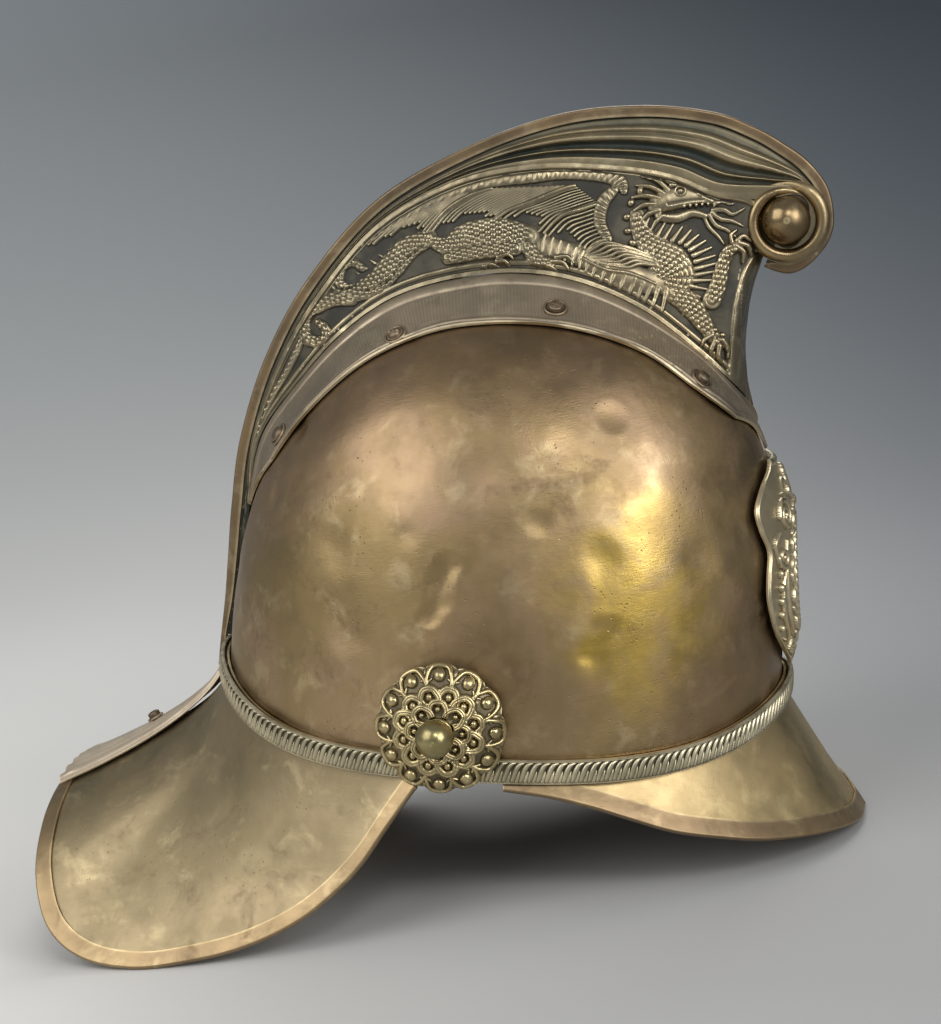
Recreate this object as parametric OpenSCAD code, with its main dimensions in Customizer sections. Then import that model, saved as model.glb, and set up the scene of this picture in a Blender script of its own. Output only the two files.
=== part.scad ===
// Brass fire helmet: pressed skull, riveted peaks, a tall embossed comb and a laced leather lining.
// Shapes are drawn in the worn frame (X forward, Y to the wearer's left, Z up, zero at the middle of
// the skull's base) and then stood on a table, on the front peak's tip and the rear peak's two lobes.

/* [Skull] */
// Length of the skull shell outside, at its base
skull_length = 230; // [210:1:250]
// Width of the skull shell outside, at its base
skull_width = 194; // [180:1:210]
// Height of the crown above the base
crown_height = 157; // [145:1:170]
// Thickness of the brass sheet
sheet = 0.9; // [0.7:0.05:1.2]
// Gap between sheets that lie on each other
sheet_gap = 0.35; // [0.3:0.05:0.5]
// How far the base edge dips at the ears
ear_dip = 12.5; // [9:0.5:16]
// Rise of the base edge from the ears to the brow
brow_rise = 18; // [14:0.5:22]
// Rise of the base edge from the ears to the nape
nape_rise = 22; // [16:0.5:26]

/* [Peaks] */
// Length of the front peak along its middle
front_peak_length = 54; // [46:1:62]
// Length of the rear peak along its middle
rear_peak_length = 86; // [76:1:96]
// Width of the folded binding on the peaks
peak_binding_width = 6.5; // [5:0.5:8]
// Thickness of the binding strip
binding_sheet = 0.7; // [0.5:0.05:0.9]
// Diameter of the rivets that hold the peaks
peak_rivet_d = 2.6; // [2:0.1:3.2]

/* [Base band] */
// Width of the ornamental band
band_width = 9; // [7:0.5:10]
// Thickness of the band
band_thickness = 1.8; // [1.2:0.1:2.2]

/* [Comb] */
// Height of the comb above the crown
comb_rise = 79.5; // [66:0.5:92]
// Depth of the binding along the crest
crest_binding_depth = 4.6; // [3.5:0.1:6]
// Width of the binding along the crest
crest_binding_width = 4.8; // [4.4:0.1:5.6]
// Diameter of the ball in the scroll at the front of the comb
scroll_ball_d = 19.5; // [16:0.5:22]
// Diameter of the comb's fasteners
comb_bolt_d = 4; // [3:0.1:4.5]
// Diameter of their heads
comb_head_d = 6.8; // [5.5:0.1:8]

/* [Rosettes and chin strap lugs] */
// Diameter of each rosette
rosette_d = 49; // [42:0.5:54]
// Height of the rosette's dome
rosette_dome = 8; // [5:0.5:10]
// Diameter of the ball stud's ball
ball_d = 14; // [11:0.5:16]
// Diameter of the stud that passes through the skull
stud_d = 6; // [5:0.1:7]
// Radial clearance of holes around studs and rivets
hole_gap = 0.15; // [0.1:0.05:0.3]
// Width of the chin strap that a lug takes
strap_width = 12; // [10:0.5:13]
// Thickness of each lug
lug_thickness = 1.2; // [1:0.1:1.6]

/* [Front plate] */
// Height of the front plate
plate_height = 85; // [76:1:88]
// Half of the plate's width, as an angle round the skull
plate_half_angle = 27; // [20:1:30]

/* [Lining] */
// Length of the head opening
head_length = 200; // [188:1:206]
// Width of the head opening
head_width = 162; // [150:1:166]
// Height of the leather sweatband
sweatband_height = 38; // [28:1:46]
// Thickness of the leather
leather = 2; // [1.5:0.1:2.4]
// Number of leather tongues
tongue_count = 8; // [6:1:8]
// Radius of the laced opening at the top
lace_radius = 24; // [18:1:30]
// Diameter of the lace
lace_d = 2.4; // [2:0.1:3]

/* [Hidden] */
// Cork spacers between the sweatband and the skull, as angles from straight ahead
spacer_angles = [36, 64, 142, -36, -64, -142];

brass = "#a07a3c";
worn_brass = "#8a6a3a";
leather_brown = "#5a3a22";
cork = "#b08a5a";

// Skull form: plan and profile are superellipses
plan_power = 2.15;
profile_power_mid = 2.65;
profile_power_swing = 0.35;
edge_power = 4.3;
half_length = skull_length / 2;
half_width = skull_width / 2;

// The rims and the comb are drawn by hand over this skull and follow the sizes above
drawn_skull = [115, 97, 157];
drawn_comb_rise = 79.5;
drawn_front_peak = 54;
drawn_rear_peak = 86;

function sgn_pow(v, e) = sign(v) * pow(abs(v), e);
function flip(p) = [p.x, -p.y, p.z];
function unit(v) = v / norm(v);

// A smooth curve through hand-drawn points, t running from 0 to the number of spans
function curve_point(p, t) =
    let (n = len(p) - 1, i = min(floor(t), n - 1), f = t - i,
         a = p[max(i - 1, 0)], b = p[i], c = p[i + 1], d = p[min(i + 2, n)])
    0.5 * (2 * b + (c - a) * f + (2 * a - 5 * b + 4 * c - d) * f * f
        + (3 * b - a - 3 * c + d) * f * f * f);
function curve(p, steps) = [for (k = [0:steps]) curve_point(p, k / steps * (len(p) - 1))];

// Skull surface, moved outward by off: by plan angle and height, or height over a plan point
function plan_x(phi) = sgn_pow(cos(phi), 2 / plan_power);
function plan_y(phi) = sgn_pow(sin(phi), 2 / plan_power);
function profile_power(cx) = profile_power_mid + profile_power_swing * cx;
function skull_at(phi, z, off) =
    let (p = profile_power(plan_x(phi)), f = min(max(z, 0) / (crown_height + off), 1),
         r = pow(1 - pow(f, p), 1 / p))
    [(half_length + off) * plan_x(phi) * r, (half_width + off) * plan_y(phi) * r, z];
function plan_radius(x, y, off) =
    pow(pow(abs(x) / (half_length + off), plan_power) + pow(abs(y) / (half_width + off), plan_power),
        1 / plan_power);
function skull_z(x, y, off) =
    let (r = max(plan_radius(x, y, off), 0.0001), p = profile_power(x / (half_length + off) / r))
    (crown_height + off) * pow(max(1 - pow(r, p), 0), 1 / p);
function skull_y(x) = half_width * pow(1 - pow(abs(x) / half_length, plan_power), 1 / plan_power);
function outside(q, off) =
    let (r = max(plan_radius(q.x, q.y, off), 0.0001), p = profile_power(q.x / (half_length + off) / r))
    pow(r, p) + pow(max(q.z, 0) / (crown_height + off), p) - 1;
// Distance from q along d to the skull surface moved by off, by halving the range n times
function reach(q, d, off, low = 0, high = 30, n = 24) =
    let (mid = (low + high) / 2)
    n == 0 ? mid
    : outside(q + d * mid, off) > 0 ? reach(q, d, off, mid, high, n - 1)
    : reach(q, d, off, low, mid, n - 1);

// Middle of the band round the base, and the plan normal there
function band_z(phi) =
    let (cx = plan_x(phi))
    -ear_dip + (cx > 0 ? brow_rise : nape_rise) * pow(abs(cx), edge_power);
function plan_normal(phi) =
    unit([sgn_pow(plan_x(phi), plan_power - 1) / half_length,
          sgn_pow(plan_y(phi), plan_power - 1) / half_width, 0]);
function wall(phi, off, dz) =
    let (q = skull_at(phi, 0, 0)) [q.x, q.y, band_z(phi) + dz] + off * plan_normal(phi);

// Surfaces are grids of points, listed row by row, given thickness along their own normals
function grid_normal(g, i, j, wrap) =
    let (m = len(g[0]), last = len(g) - 1,
         a = g[min(i + 1, last)][j] - g[max(i - 1, 0)][j],
         b = wrap ? g[i][(j + 1) % m] - g[i][(j + m - 1) % m]
                  : g[i][min(j + 1, m - 1)] - g[i][max(j - 1, 0)])
    unit(cross(a, b));
function inset(g, t, wrap = false) =
    [for (i = [0:len(g) - 1]) [for (j = [0:len(g[0]) - 1]) g[i][j] - t * grid_normal(g, i, j, wrap)]];
function flat(g) = [for (row = g) for (q = row) q];

// A closed sheet between two grids of the same size; wrap joins the last column to the first
module sheet_between(outer, inner, wrap = false) {
    n = len(outer);
    m = len(outer[0]);
    k = n * m;
    cols = wrap ? m : m - 1;
    function at(i, j) = i * m + j % m;
    function pair(a, b, c, d) = [[a, b, c], [a, c, d]];
    function rim(a, b) = pair(b, a, a + k, b + k);
    skin = [for (i = [0:n - 2]) for (j = [0:cols - 1])
        each pair(at(i, j), at(i, j + 1), at(i + 1, j + 1), at(i + 1, j))];
    lining = [for (f = skin) [f[2] + k, f[1] + k, f[0] + k]];
    ends = [for (j = [0:cols - 1])
        each concat(rim(at(0, j), at(0, j + 1)), rim(at(n - 1, j + 1), at(n - 1, j)))];
    sides = wrap ? [] : [for (i = [0:n - 2])
        each concat(rim(at(i + 1, 0), at(i, 0)), rim(at(i, m - 1), at(i + 1, m - 1)))];
    polyhedron(points = concat(flat(outer), flat(inner)), faces = concat(skin, lining, ends, sides));
}

// A closed dome: rings of points from the crown down, with a pole outside and one inside
module dome_between(outer, inner, poles) {
    n = len(outer);
    m = len(outer[0]);
    k = n * m;
    function at(i, j) = i * m + j % m;
    function pair(a, b, c, d) = [[a, b, c], [a, c, d]];
    skin = [for (i = [0:n - 2]) for (j = [0:m - 1])
        each pair(at(i, j), at(i, j + 1), at(i + 1, j + 1), at(i + 1, j))];
    cap = [for (j = [0:m - 1]) [2 * k, at(0, j + 1), at(0, j)]];
    lining = [for (f = skin) [f[2] + k, f[1] + k, f[0] + k]];
    inner_cap = [for (j = [0:m - 1]) [at(0, j) + k, at(0, j + 1) + k, 2 * k + 1]];
    hem = [for (j = [0:m - 1])
        each pair(at(n - 1, j), at(n - 1, j + 1), at(n - 1, j + 1) + k, at(n - 1, j) + k)];
    polyhedron(points = concat(flat(outer), flat(inner), poles),
        faces = concat(skin, cap, lining, inner_cap, hem));
}

// A cylinder from one point towards another
module rod(from, to, r, sides = 24) {
    d = to - from;
    translate(from)
        rotate([0, acos(d.z / norm(d)), atan2(d.y, d.x)])
            cylinder(h = norm(d), r = r, $fn = sides);
}

// Skull grid
skull_columns = 56;
skull_profile = [84, 75, 66, 58, 50, 42, 34, 26, 18, 10, 4, 0];
edge_drop = band_width / 2 - 0.1;
skull_outer = [for (t = skull_profile)
    [for (j = [0:skull_columns - 1])
        let (phi = 360 * j / skull_columns, low = band_z(phi) - edge_drop,
             z = low + (crown_height - low) * pow(sin(t), 0.8))
        skull_at(phi, z, 0)]];

// Peaks: drawn rims, from the middle to the wearer's left ear
front_rim_drawn = [[150, 0, -47], [146.3, 24, -46], [137, 45, -43.8], [123, 62, -42.2],
    [106.5, 75.5, -40.5], [89.5, 85, -37.4], [73, 91.5, -34], [57.5, 96, -28.8], [42.5, 98.2, -24.2],
    [27, 99, -20.9], [10, 99.2, -19.2]];
rear_rim_drawn = [[-187, 0, -47.5], [-186, 28, -49.5], [-184.5, 50, -58.5], [-181, 68, -73], [-172, 81, -89],
    [-156, 91, -96.5], [-134, 98, -97], [-112, 102, -92], [-88, 104, -84], [-65, 105, -71],
    [-46, 104, -53], [-33, 101.3, -34], [-23.5, 98.3, -20]];
front_peak_angle = 86;
rear_peak_angle = 80;
front_stations = 36;
rear_stations = 46;
collar_height = 4;
band_trim = 3;
collar_off = sheet_gap + sheet;
rear_lean = [0.05, 0.43];
front_lean = [0.45, 0.5];
lean_gain = 0.25;
peak_rows = 6;

function fitted(p) = [p.x * half_length / drawn_skull.x, p.y * half_width / drawn_skull.y, p.z];
function peak_angle(rear, u) = rear ? 180 + rear_peak_angle * u : front_peak_angle * u;
function peak_base(rear, u) = wall(peak_angle(rear, u), collar_off, -band_width / 2 - 0.1);
function rim_point(rear, u) =
    let (drawn = rear ? rear_rim_drawn : front_rim_drawn,
         p = fitted(curve_point(drawn, abs(u) * (len(drawn) - 1))),
         q = ((u < 0) != rear) ? flip(p) : p, base = peak_base(rear, u),
         k = rear ? rear_peak_length / drawn_rear_peak : front_peak_length / drawn_front_peak)
    base + (q - base) * k;
function peak_control(rear, u) =
    let (base = peak_base(rear, u), d = rim_point(rear, u) - base, lean = rear ? rear_lean : front_lean,
         side = lean.x + (rear ? lean_gain * abs(u) : 0))
    base + [d.x * side, d.y * side, d.z * lean.y];
function peak_point(rear, u, t) =
    (1 - t) * (1 - t) * peak_base(rear, u) + 2 * t * (1 - t) * peak_control(rear, u)
        + t * t * rim_point(rear, u);
// The last row but one runs along the inner edge of the binding, which is as deep as the peak leaves
// room for under the skull's edge
binding_clear = 0.5;
function binding_depth(rear, u) =
    min(peak_binding_width, norm(rim_point(rear, u) - peak_base(rear, u)) - binding_clear);
function fold_row(rear, u) =
    let (slope = 2 * norm(rim_point(rear, u) - peak_control(rear, u)))
    max(0.5, 1 - (binding_depth(rear, u) + binding_clear) / slope);
function peak_grid(rear, n) = concat(
    [[for (j = [0:n]) wall(peak_angle(rear, 2 * j / n - 1), collar_off, collar_height)]],
    [for (i = [0:peak_rows]) [for (j = [0:n])
        let (u = 2 * j / n - 1)
        peak_point(rear, u, i == peak_rows ? 1 : fold_row(rear, u) * i / (peak_rows - 1))]]);

// Folded binding round a peak's rim, as offsets along the rim's outward and upward directions
binding_gap = 0.25;
binding_out = binding_gap + binding_sheet;
binding_fold = [[-1, binding_out], [0.6 * binding_out, binding_out], [binding_out, 0.3 * binding_out],
    [binding_out, -sheet - 0.3 * binding_out], [0.6 * binding_out, -sheet - binding_out],
    [-1, -sheet - binding_out]];
function rim_outward(rear, u) = unit(rim_point(rear, u) - peak_point(rear, u, fold_row(rear, u)));
function rim_along(rear, u, d = 0.01) = rim_point(rear, min(u + d, 1)) - rim_point(rear, max(u - d, -1));
function rim_normal(rear, u) = unit(cross(rim_outward(rear, u), rim_along(rear, u)));
function rim_side(rear, u) = unit(cross(rim_along(rear, u), rim_normal(rear, u)));
function binding_grid(rear, n) =
    [for (f = binding_fold) [for (j = [0:n])
        let (u = 2 * j / n - 1,
             q = f.x < 0 ? f.x * binding_depth(rear, u) * rim_outward(rear, u) : f.x * rim_side(rear, u))
        rim_point(rear, u) + q + f.y * rim_normal(rear, u)]];
front_binding = binding_grid(false, front_stations);
rear_binding = binding_grid(true, rear_stations);

// Comb: rails drawn over the left half, from the nape to the brow
crest_tail_drawn = [[-123.2, 1.6], [-122, 14.5], [-120.2, 31], [-118.8, 50]];
crest_tail_shares = [0.5, 0.5, 0.75, 0.9];
crest_drawn = [[-117.3, 70], [-113.6, 98], [-103, 132], [-85, 165], [-56, 198], [-18, 220], [19, 233],
    [52, 236.5], [80, 234], [97, 228], [108, 222], [118, 215], [126, 205], [129, 193], [127.5, 184],
    [121, 174.5], [112, 169.5], [102, 173]];
panel_top_drawn = [[-109.8, 3.4, 71.5], [-106.5, 6, 100], [-95, 7.5, 131], [-79, 8.5, 158.5], [-54, 9, 187.5],
    [-22, 9, 205.5], [10, 9, 212.3], [42, 9, 212], [64, 9, 208.8], [81, 9, 202.5], [98, 9, 197.5],
    [101.5, 1.2, 177]];
panel_foot_drawn = [[-108.3, 6, 72], [-101.5, 12, 101], [-84, 17, 125], [-66.5, 20, 144], [-46, 22, 158.5],
    [-22, 22.5, 166.5], [5, 22.5, 169.5], [30, 22.5, 166], [55, 22, 155.5], [76, 19, 140], [89, 15, 128.5],
    [99.5, 1.2, 117]];
flange_edge_drawn = [[-105.5, 18], [-91, 37], [-76, 42], [-57, 43.5], [-38, 44], [-18, 43.5], [8, 44.5],
    [33, 45.5], [57, 45.5], [76, 44], [92, 33], [105.5, 1.2]];
panel_bulge = [0, 0, 0, 0, 0, 0, 0, 0, 0, 0, -1, -4.6];
scroll_drawn = [109.7, 191.2];
scroll_entry_angle = 125;
scroll_start = 10;
panel_count = 11;
comb_steps = 33;
flange_off = sheet_gap + sheet;
half_gap = 0.15;
leg_clearance = 0.2;
seat_gap = 0.3;

function lifted(z) =
    z > drawn_skull.z ? crown_height + (z - drawn_skull.z) * comb_rise / drawn_comb_rise
                      : z * crown_height / drawn_skull.z;
function on_skull(p) = [p.x * half_length / drawn_skull.x, p.y * half_width / drawn_skull.y, lifted(p.z)];
function on_crest(p) = [p.x * half_length / drawn_skull.x, 0, lifted(p.y)];
function settled(q, off) = [q.x, q.y, max(q.z, skull_z(q.x, q.y, off))];
function on_flange(p) =
    let (x = p.x * half_length / drawn_skull.x, y = p.y * half_width / drawn_skull.y)
    [x, y, skull_z(x, y, flange_off)];

crest_tail = [for (p = crest_tail_drawn) on_crest(p)];
crest = [for (p = crest_drawn) on_crest(p)];
scroll_centre = on_crest(scroll_drawn);
panel_top = [for (p = panel_top_drawn) on_skull(p)];
panel_foot = [for (p = panel_foot_drawn) settled(on_skull(p), flange_off + seat_gap)];
flange_edge = [for (p = flange_edge_drawn) on_flange(p)];

// Left half's side panel and flange, rows running forward, columns running down
panel_shares = [0, 0.33, 0.67, 1];
flange_shares = [0.35, 0.7, 1];
flange_sag = 3;
function bulged(i, s) =
    panel_top[i] + s * (panel_foot[i] - panel_top[i]) + [4 * s * (1 - s) * panel_bulge[i], 0, 0];
function flange_at(i, s) =
    let (q = panel_foot[i] + s * (flange_edge[i] - panel_foot[i]) - [0, 0, flange_sag * s * (1 - s)])
    s == 1 ? flange_edge[i] : settled(q, flange_off + 0.1);
panel_curves = concat(
    [for (s = panel_shares) curve([for (i = [0:panel_count]) bulged(i, s)], comb_steps)],
    [for (s = flange_shares)
        [for (q = curve([for (i = [0:panel_count]) flange_at(i, s)], comb_steps)) settled(q, flange_off)]]);
panel_grid = [for (i = [0:comb_steps]) [for (c = panel_curves) c[i]]];

// Crest line, with the depth of its binding kept in the Y place, from the nape to under the scroll
crest_path = concat(
    [for (i = [0:len(crest_tail) - 1]) crest_tail[i] + [0, crest_tail_shares[i] * crest_binding_depth, 0]],
    [for (q = crest) q + [0, crest_binding_depth, 0]]);
tail_points = len(crest_tail);
function along(path, i) =
    let (n = len(path) - 1, v = path[min(i + 1, n)] - path[max(i - 1, 0)])
    unit([v.x, 0, v.z]);
crest_line = curve(crest_path, 3 * (len(crest_path) - 1));
crest_fold = [[-1, -1], [-0.28, -1], [-0.08, -0.7], [0, 0], [-0.08, 0.7], [-0.28, 1], [-1, 1]];
crest_grid = [for (i = [0:len(crest_line) - 1])
    let (q = crest_line[i], t = along(crest_line, i))
    [for (f = crest_fold)
        [q.x, f.y * crest_binding_width / 2, q.z] + f.x * q.y * [-t.z, 0, t.x]]];

// Crest ribs of the left half: shares of the way from the binding's leg to the panel, with the side
// reach of the ribs and, where the scroll leaves them no room, of the plain slope that they fade into.
// Below the panel they run out into a flat web between the binding and the back of the skull.
rib_steps = 2;
rib_profile = [[0, 1.05, 1.05], [0.13, 3.7, 3.5], [0.22, 7, 4.7], [0.42, 7.7, 6.9], [0.56, 5.2, 7.7],
    [0.67, 8.5, 8.1], [0.77, 6.3, 8.3], [0.86, 8.5, 8.5], [1, 8.55, 8.55]];
rib_last = rib_profile[len(rib_profile) - 1].y;
rib_room = 14;
rib_clear = 0.6;
least_room = 1.5;
panel_side = 9;
binding_thickness = crest_binding_width / 2 - half_gap - sheet - leg_clearance;
web_side = half_gap + sheet;
web_start = binding_thickness + 0.5;
web_gap = 0.45;
web_hem = 0.6;
tuck = 3;
scroll_ring_r = 14.2;
scroll_depth = 1.9;
scroll_clear = 2.5;
function scroll_rim(i) =
    let (q = crest[i] - scroll_centre, room = norm(q),
         d = i == scroll_start ? [cos(scroll_entry_angle), 0, sin(scroll_entry_angle)] : q / room,
         r = min(scroll_ring_r - 0.2, room - crest_binding_depth - scroll_clear))
    scroll_centre + d * r + [0, panel_side, 0];
rib_foot = [for (i = [0:len(crest) - 1]) i < scroll_start ? panel_top[i] : scroll_rim(i)];
function web_row(c, leg) =
    let (foot = skull_at(180, c.z, web_gap).x, room = foot - c.x - leg - web_hem)
    concat([[c.x + web_start, web_side, c.z]],
        [for (p = rib_profile) [c.x + leg + p.x * room, web_side, c.z]],
        [[foot, web_side, c.z]]);
function rib_row(i, c, depth) =
    let (foot = [rib_foot[i].x, 0, rib_foot[i].z], d = unit(foot - c), t = along(crest, i),
         leg = depth / (d * [t.z, 0, -t.x]), room = max(norm(foot - c) - leg, least_room),
         k = min(room / rib_room, 1), reach_y = rib_foot[i].y / panel_side,
         below = i < scroll_start ? unit(panel_foot[i] - panel_top[i]) : d)
    concat([c + d * web_start + [0, web_side, 0]],
        [for (p = rib_profile)
            c + d * (leg + p.x * room) + [0, max(web_side, (p.y * k + p.z * (1 - k)) * reach_y), 0]],
        [rib_foot[i] + below * tuck - [0, (1 - rib_last / panel_side) * rib_foot[i].y, 0]]);
rib_rows = [for (i = [1:len(crest_path) - 1])
    let (c = [crest_path[i].x, 0, crest_path[i].z], depth = crest_path[i].y + rib_clear)
    i < tail_points ? web_row(c, depth) : rib_row(i - tail_points, c, depth)];
rib_curves = [for (j = [0:len(rib_rows[0]) - 1])
    curve([for (row = rib_rows) row[j]], rib_steps * (len(rib_rows) - 1))];
rib_grid = [for (i = [0:len(rib_curves[0]) - 1])
    [for (c = rib_curves) [c[i].x, max(c[i].y, web_side), c[i].z]]];

// Main masses of the dragon embossed on the panel, each a flat-topped roll: place along the comb, share of
// the way down the panel and half width, from the roll's start to its end
dragon_head = [[7.69, 0.32, 5.8], [8, 0.19, 5.8], [8.48, 0.1, 4.2], [8.94, 0.06, 2.5]];
dragon_chest = [[7.68, 0.4, 3.8], [7.91, 0.51, 5.4], [8.24, 0.58, 8.8], [8.44, 0.66, 7.1]];
dragon_belly = [[8.22, 0.76, 4.6], [7.78, 0.82, 6.2], [7.27, 0.81, 5], [6.79, 0.78, 4.6], [6.33, 0.74, 4.6]];
dragon_foreleg = [[8.42, 0.8, 3.8], [8.77, 0.79, 4.6], [9.17, 0.82, 3.8], [9.58, 0.87, 2.1]];
dragon_paw = [[9.29, 0.62, 3.3], [9.48, 0.51, 3.8], [9.51, 0.39, 3.3], [9.72, 0.29, 2.5]];
dragon_wing = [[4.94, 0.21, 1.2], [5.71, 0.16, 2.1], [6.33, 0.1, 2.5], [6.83, 0.1, 2.9], [7.09, 0.16, 2.9]];
dragon_wing_arm = [[7.05, 0.25, 2.9], [6.98, 0.36, 2.9], [7.04, 0.49, 2.5], [7.22, 0.59, 2.1]];
dragon_haunch = [[6.03, 0.66, 5], [5.66, 0.65, 6.7], [5.24, 0.64, 6.2], [4.95, 0.75, 3.8]];
dragon_foot = [[4.91, 0.83, 3.3], [5.43, 0.9, 3.3], [5.83, 0.94, 2.5]];
dragon_tail = [[4.76, 0.52, 4.2], [4.42, 0.54, 7.5], [4.08, 0.73, 7.5], [3.6, 0.68, 5.4], [3.39, 0.28, 3.8],
    [3.55, 0.13, 3.3]];
dragon_coil = [[3.29, 0.77, 2.9], [3.04, 0.37, 3.8], [2.74, 0.27, 3.8], [2.66, 0.65, 2.5]];
dragon_tip = [[2.37, 0.36, 2.5], [2.05, 0.51, 2.5], [1.61, 0.56, 2.1], [1.27, 0.54, 1.7]];
dragon = [dragon_head, dragon_chest, dragon_belly, dragon_foreleg, dragon_paw, dragon_wing, dragon_wing_arm,
    dragon_haunch, dragon_foot, dragon_tail, dragon_coil, dragon_tip];
roll_height = 1.7;
roll_end_share = 0.4;
roll_sunk = 0.5;
roll_section = [[-1, -0.1], [-0.55, 1], [0.55, 1], [1, -0.1]];
function panel_point(k, s) = curve_point([for (i = [0:panel_count]) bulged(i, s)], k);
function panel_axis(k, s, d = 0.05) =
    unit(cross(panel_point(k + d, s) - panel_point(k - d, s), panel_point(k, s + d) - panel_point(k, s - d)));
function roll_row(roll, i, top) =
    let (n = len(roll) - 1, a = roll[max(i - 1, 0)], b = roll[min(i + 1, n)], q = roll[i],
         axis = panel_axis(q.x, q.y), h = roll_height * (i == 0 || i == n ? roll_end_share : 1),
         across = unit(cross(axis, panel_point(b.x, b.y) - panel_point(a.x, a.y))))
    [for (f = roll_section)
        panel_point(q.x, q.y) + across * f.x * q.z + axis * (top ? f.y * h : -roll_sunk)];

// Standing on a table: pitch the lowest line of the two peaks' rims level, then centre the outline
fold_edge = [1:len(binding_fold) - 2];
front_low = [for (i = fold_edge) each front_binding[i]];
rear_low = [for (i = fold_edge) each rear_binding[i]];
stand_slope = max([for (r = rear_low) min([for (f = front_low) (f.z - r.z) / (f.x - r.x)])]);
stand_pitch = atan(stand_slope);
function pitched(q) =
    [q.x * cos(stand_pitch) + q.z * sin(stand_pitch), q.y, q.z * cos(stand_pitch) - q.x * sin(stand_pitch)];
outline_low = [for (q = concat(front_low, rear_low)) pitched(q)];
outline_all = concat(outline_low, [for (q = flat(crest_grid)) pitched(q)]);
stand_shift = [-(min([for (q = outline_all) q.x]) + max([for (q = outline_all) q.x])) / 2, 0,
    -min([for (q = outline_low) q.z])];
function stood(q) = pitched(q) + stand_shift;
module stand() translate(stand_shift) rotate([0, stand_pitch, 0]) children();
module on_side(right) mirror([0, right ? 1 : 0, 0]) children();

// Rosettes, their studs and the chin strap lugs: all on one axis through each side of the skull
rosette_angle = 95.5;
rosette_height = 4;
stud_x = half_length * plan_x(rosette_angle);
touch_gap = 0.15;
nut_gap = 0.05;
band_off = collar_off + binding_out + 0.1;
band_outer = band_off + band_thickness;
band_crown = 0.4;
rim_y = half_width + band_outer + band_crown + 0.5;
apex_y = rim_y + rosette_dome;
rosette_sheet = 1;
bead_count = 12;
bead_r = 2.3;
collar_r = 5.5;
bush_gap = 0.45;
collar_t = 1.5;
neck_length = 2;
collar_y = apex_y + 0.1;
ball_sunk = 0.6;
ball_y = collar_y + collar_t + neck_length + ball_d / 2 - ball_sunk;
lug_y = half_width - 5.6;
nut_t = 3.5;
stud_nut_af = 10;
stud_nut_y = lug_y - lug_thickness - touch_gap - nut_t;
stud_end_y = stud_nut_y - 1;
wall_in_y = skull_y(abs(stud_x) + collar_r) - sheet - seat_gap;
wall_out_y = half_width + seat_gap;
lug_length = 25;
lug_slot_h = 5;
lug_eye_r = 7;
lug_margin = 3;
lug_swing_gap = 0.08;
module on_stud_axis(right, y)
    on_side(right) translate([stud_x, y, rosette_height]) rotate([-90, 0, 0]) children();

// Comb fasteners, on the flange of the left half: place along the comb and share of the flange's width
bolt_places = [[1.32, 0.65], [3.92, 0.78], [6.57, 0.62], [9.14, 0.78]];
bolt_list = [0:len(bolt_places) - 1];
function rail_point(k, s) = curve_point([for (i = [0:panel_count]) flange_at(i, s)], k);
function bolt_axis(k, s, d = 0.2) =
    unit(cross(rail_point(k + d, s) - rail_point(k - d, s), rail_point(k, s + d) - rail_point(k, s - d)));
bolt_seats = [for (b = bolt_places) rail_point(b.x, b.y)];
bolt_axes = [for (b = bolt_places) bolt_axis(b.x, b.y)];
nut_standoff = 2.35;
bolt_depths = [for (i = bolt_list) reach(bolt_seats[i], -bolt_axes[i], -sheet) + nut_standoff];
comb_head_gap = 0.45;
comb_head_t = 2.2;
comb_nut_r = 3.8;
comb_nut_t = 2.4;
bolt_end = 1;
drill = 6;

// Rivets through the peaks' collars and the skull, under the band
front_rivet_angles = [-66, -42, -15, 15, 42, 66];
rear_rivet_angles = [-66, -44, -22, 22, 44, 66];
rivet_head_wider = 0.9;
rivet_head_t = 0.6;
rivet_out = collar_off + touch_gap;
rivet_in = -sheet - 0.4;
function rivet_angles(rear) = rear ? [for (a = rear_rivet_angles) 180 + a] : front_rivet_angles;

// Front plate on the brow, hung on two studs
plate_bottom = 12.5;
plate_rows = 15;
plate_columns = 12;
plate_widths = [0.42, 0.8, 1, 0.97, 0.86, 0.9, 0.92, 0.86, 0.74, 0.5, 0.18];
plate_edge_off = 1.9 + sheet;
plate_swell = 3;
plate_stud_r = 2;
plate_stud_heights = [26, 74];
plate_nut_r = 4;
plate_nut_t = 2.6;
plate_nut_in = 5;
plate_stud_end = 0.5;
function plate_angle(v) =
    plate_half_angle * curve_point([for (w = plate_widths) [w, 0, 0]], v * (len(plate_widths) - 1)).x;
plate_top = plate_bottom + plate_height * crown_height / drawn_skull.z;
plate_grid = [for (i = [0:plate_rows])
    [for (j = [0:plate_columns])
        let (v = i / plate_rows, s = 2 * j / plate_columns - 1,
             off = plate_edge_off + plate_swell * (1 - s * s) * min(1, 6 * v * (1 - v)))
        skull_at(s * plate_angle(v), plate_top + v * (plate_bottom - plate_top), off)]];

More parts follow.
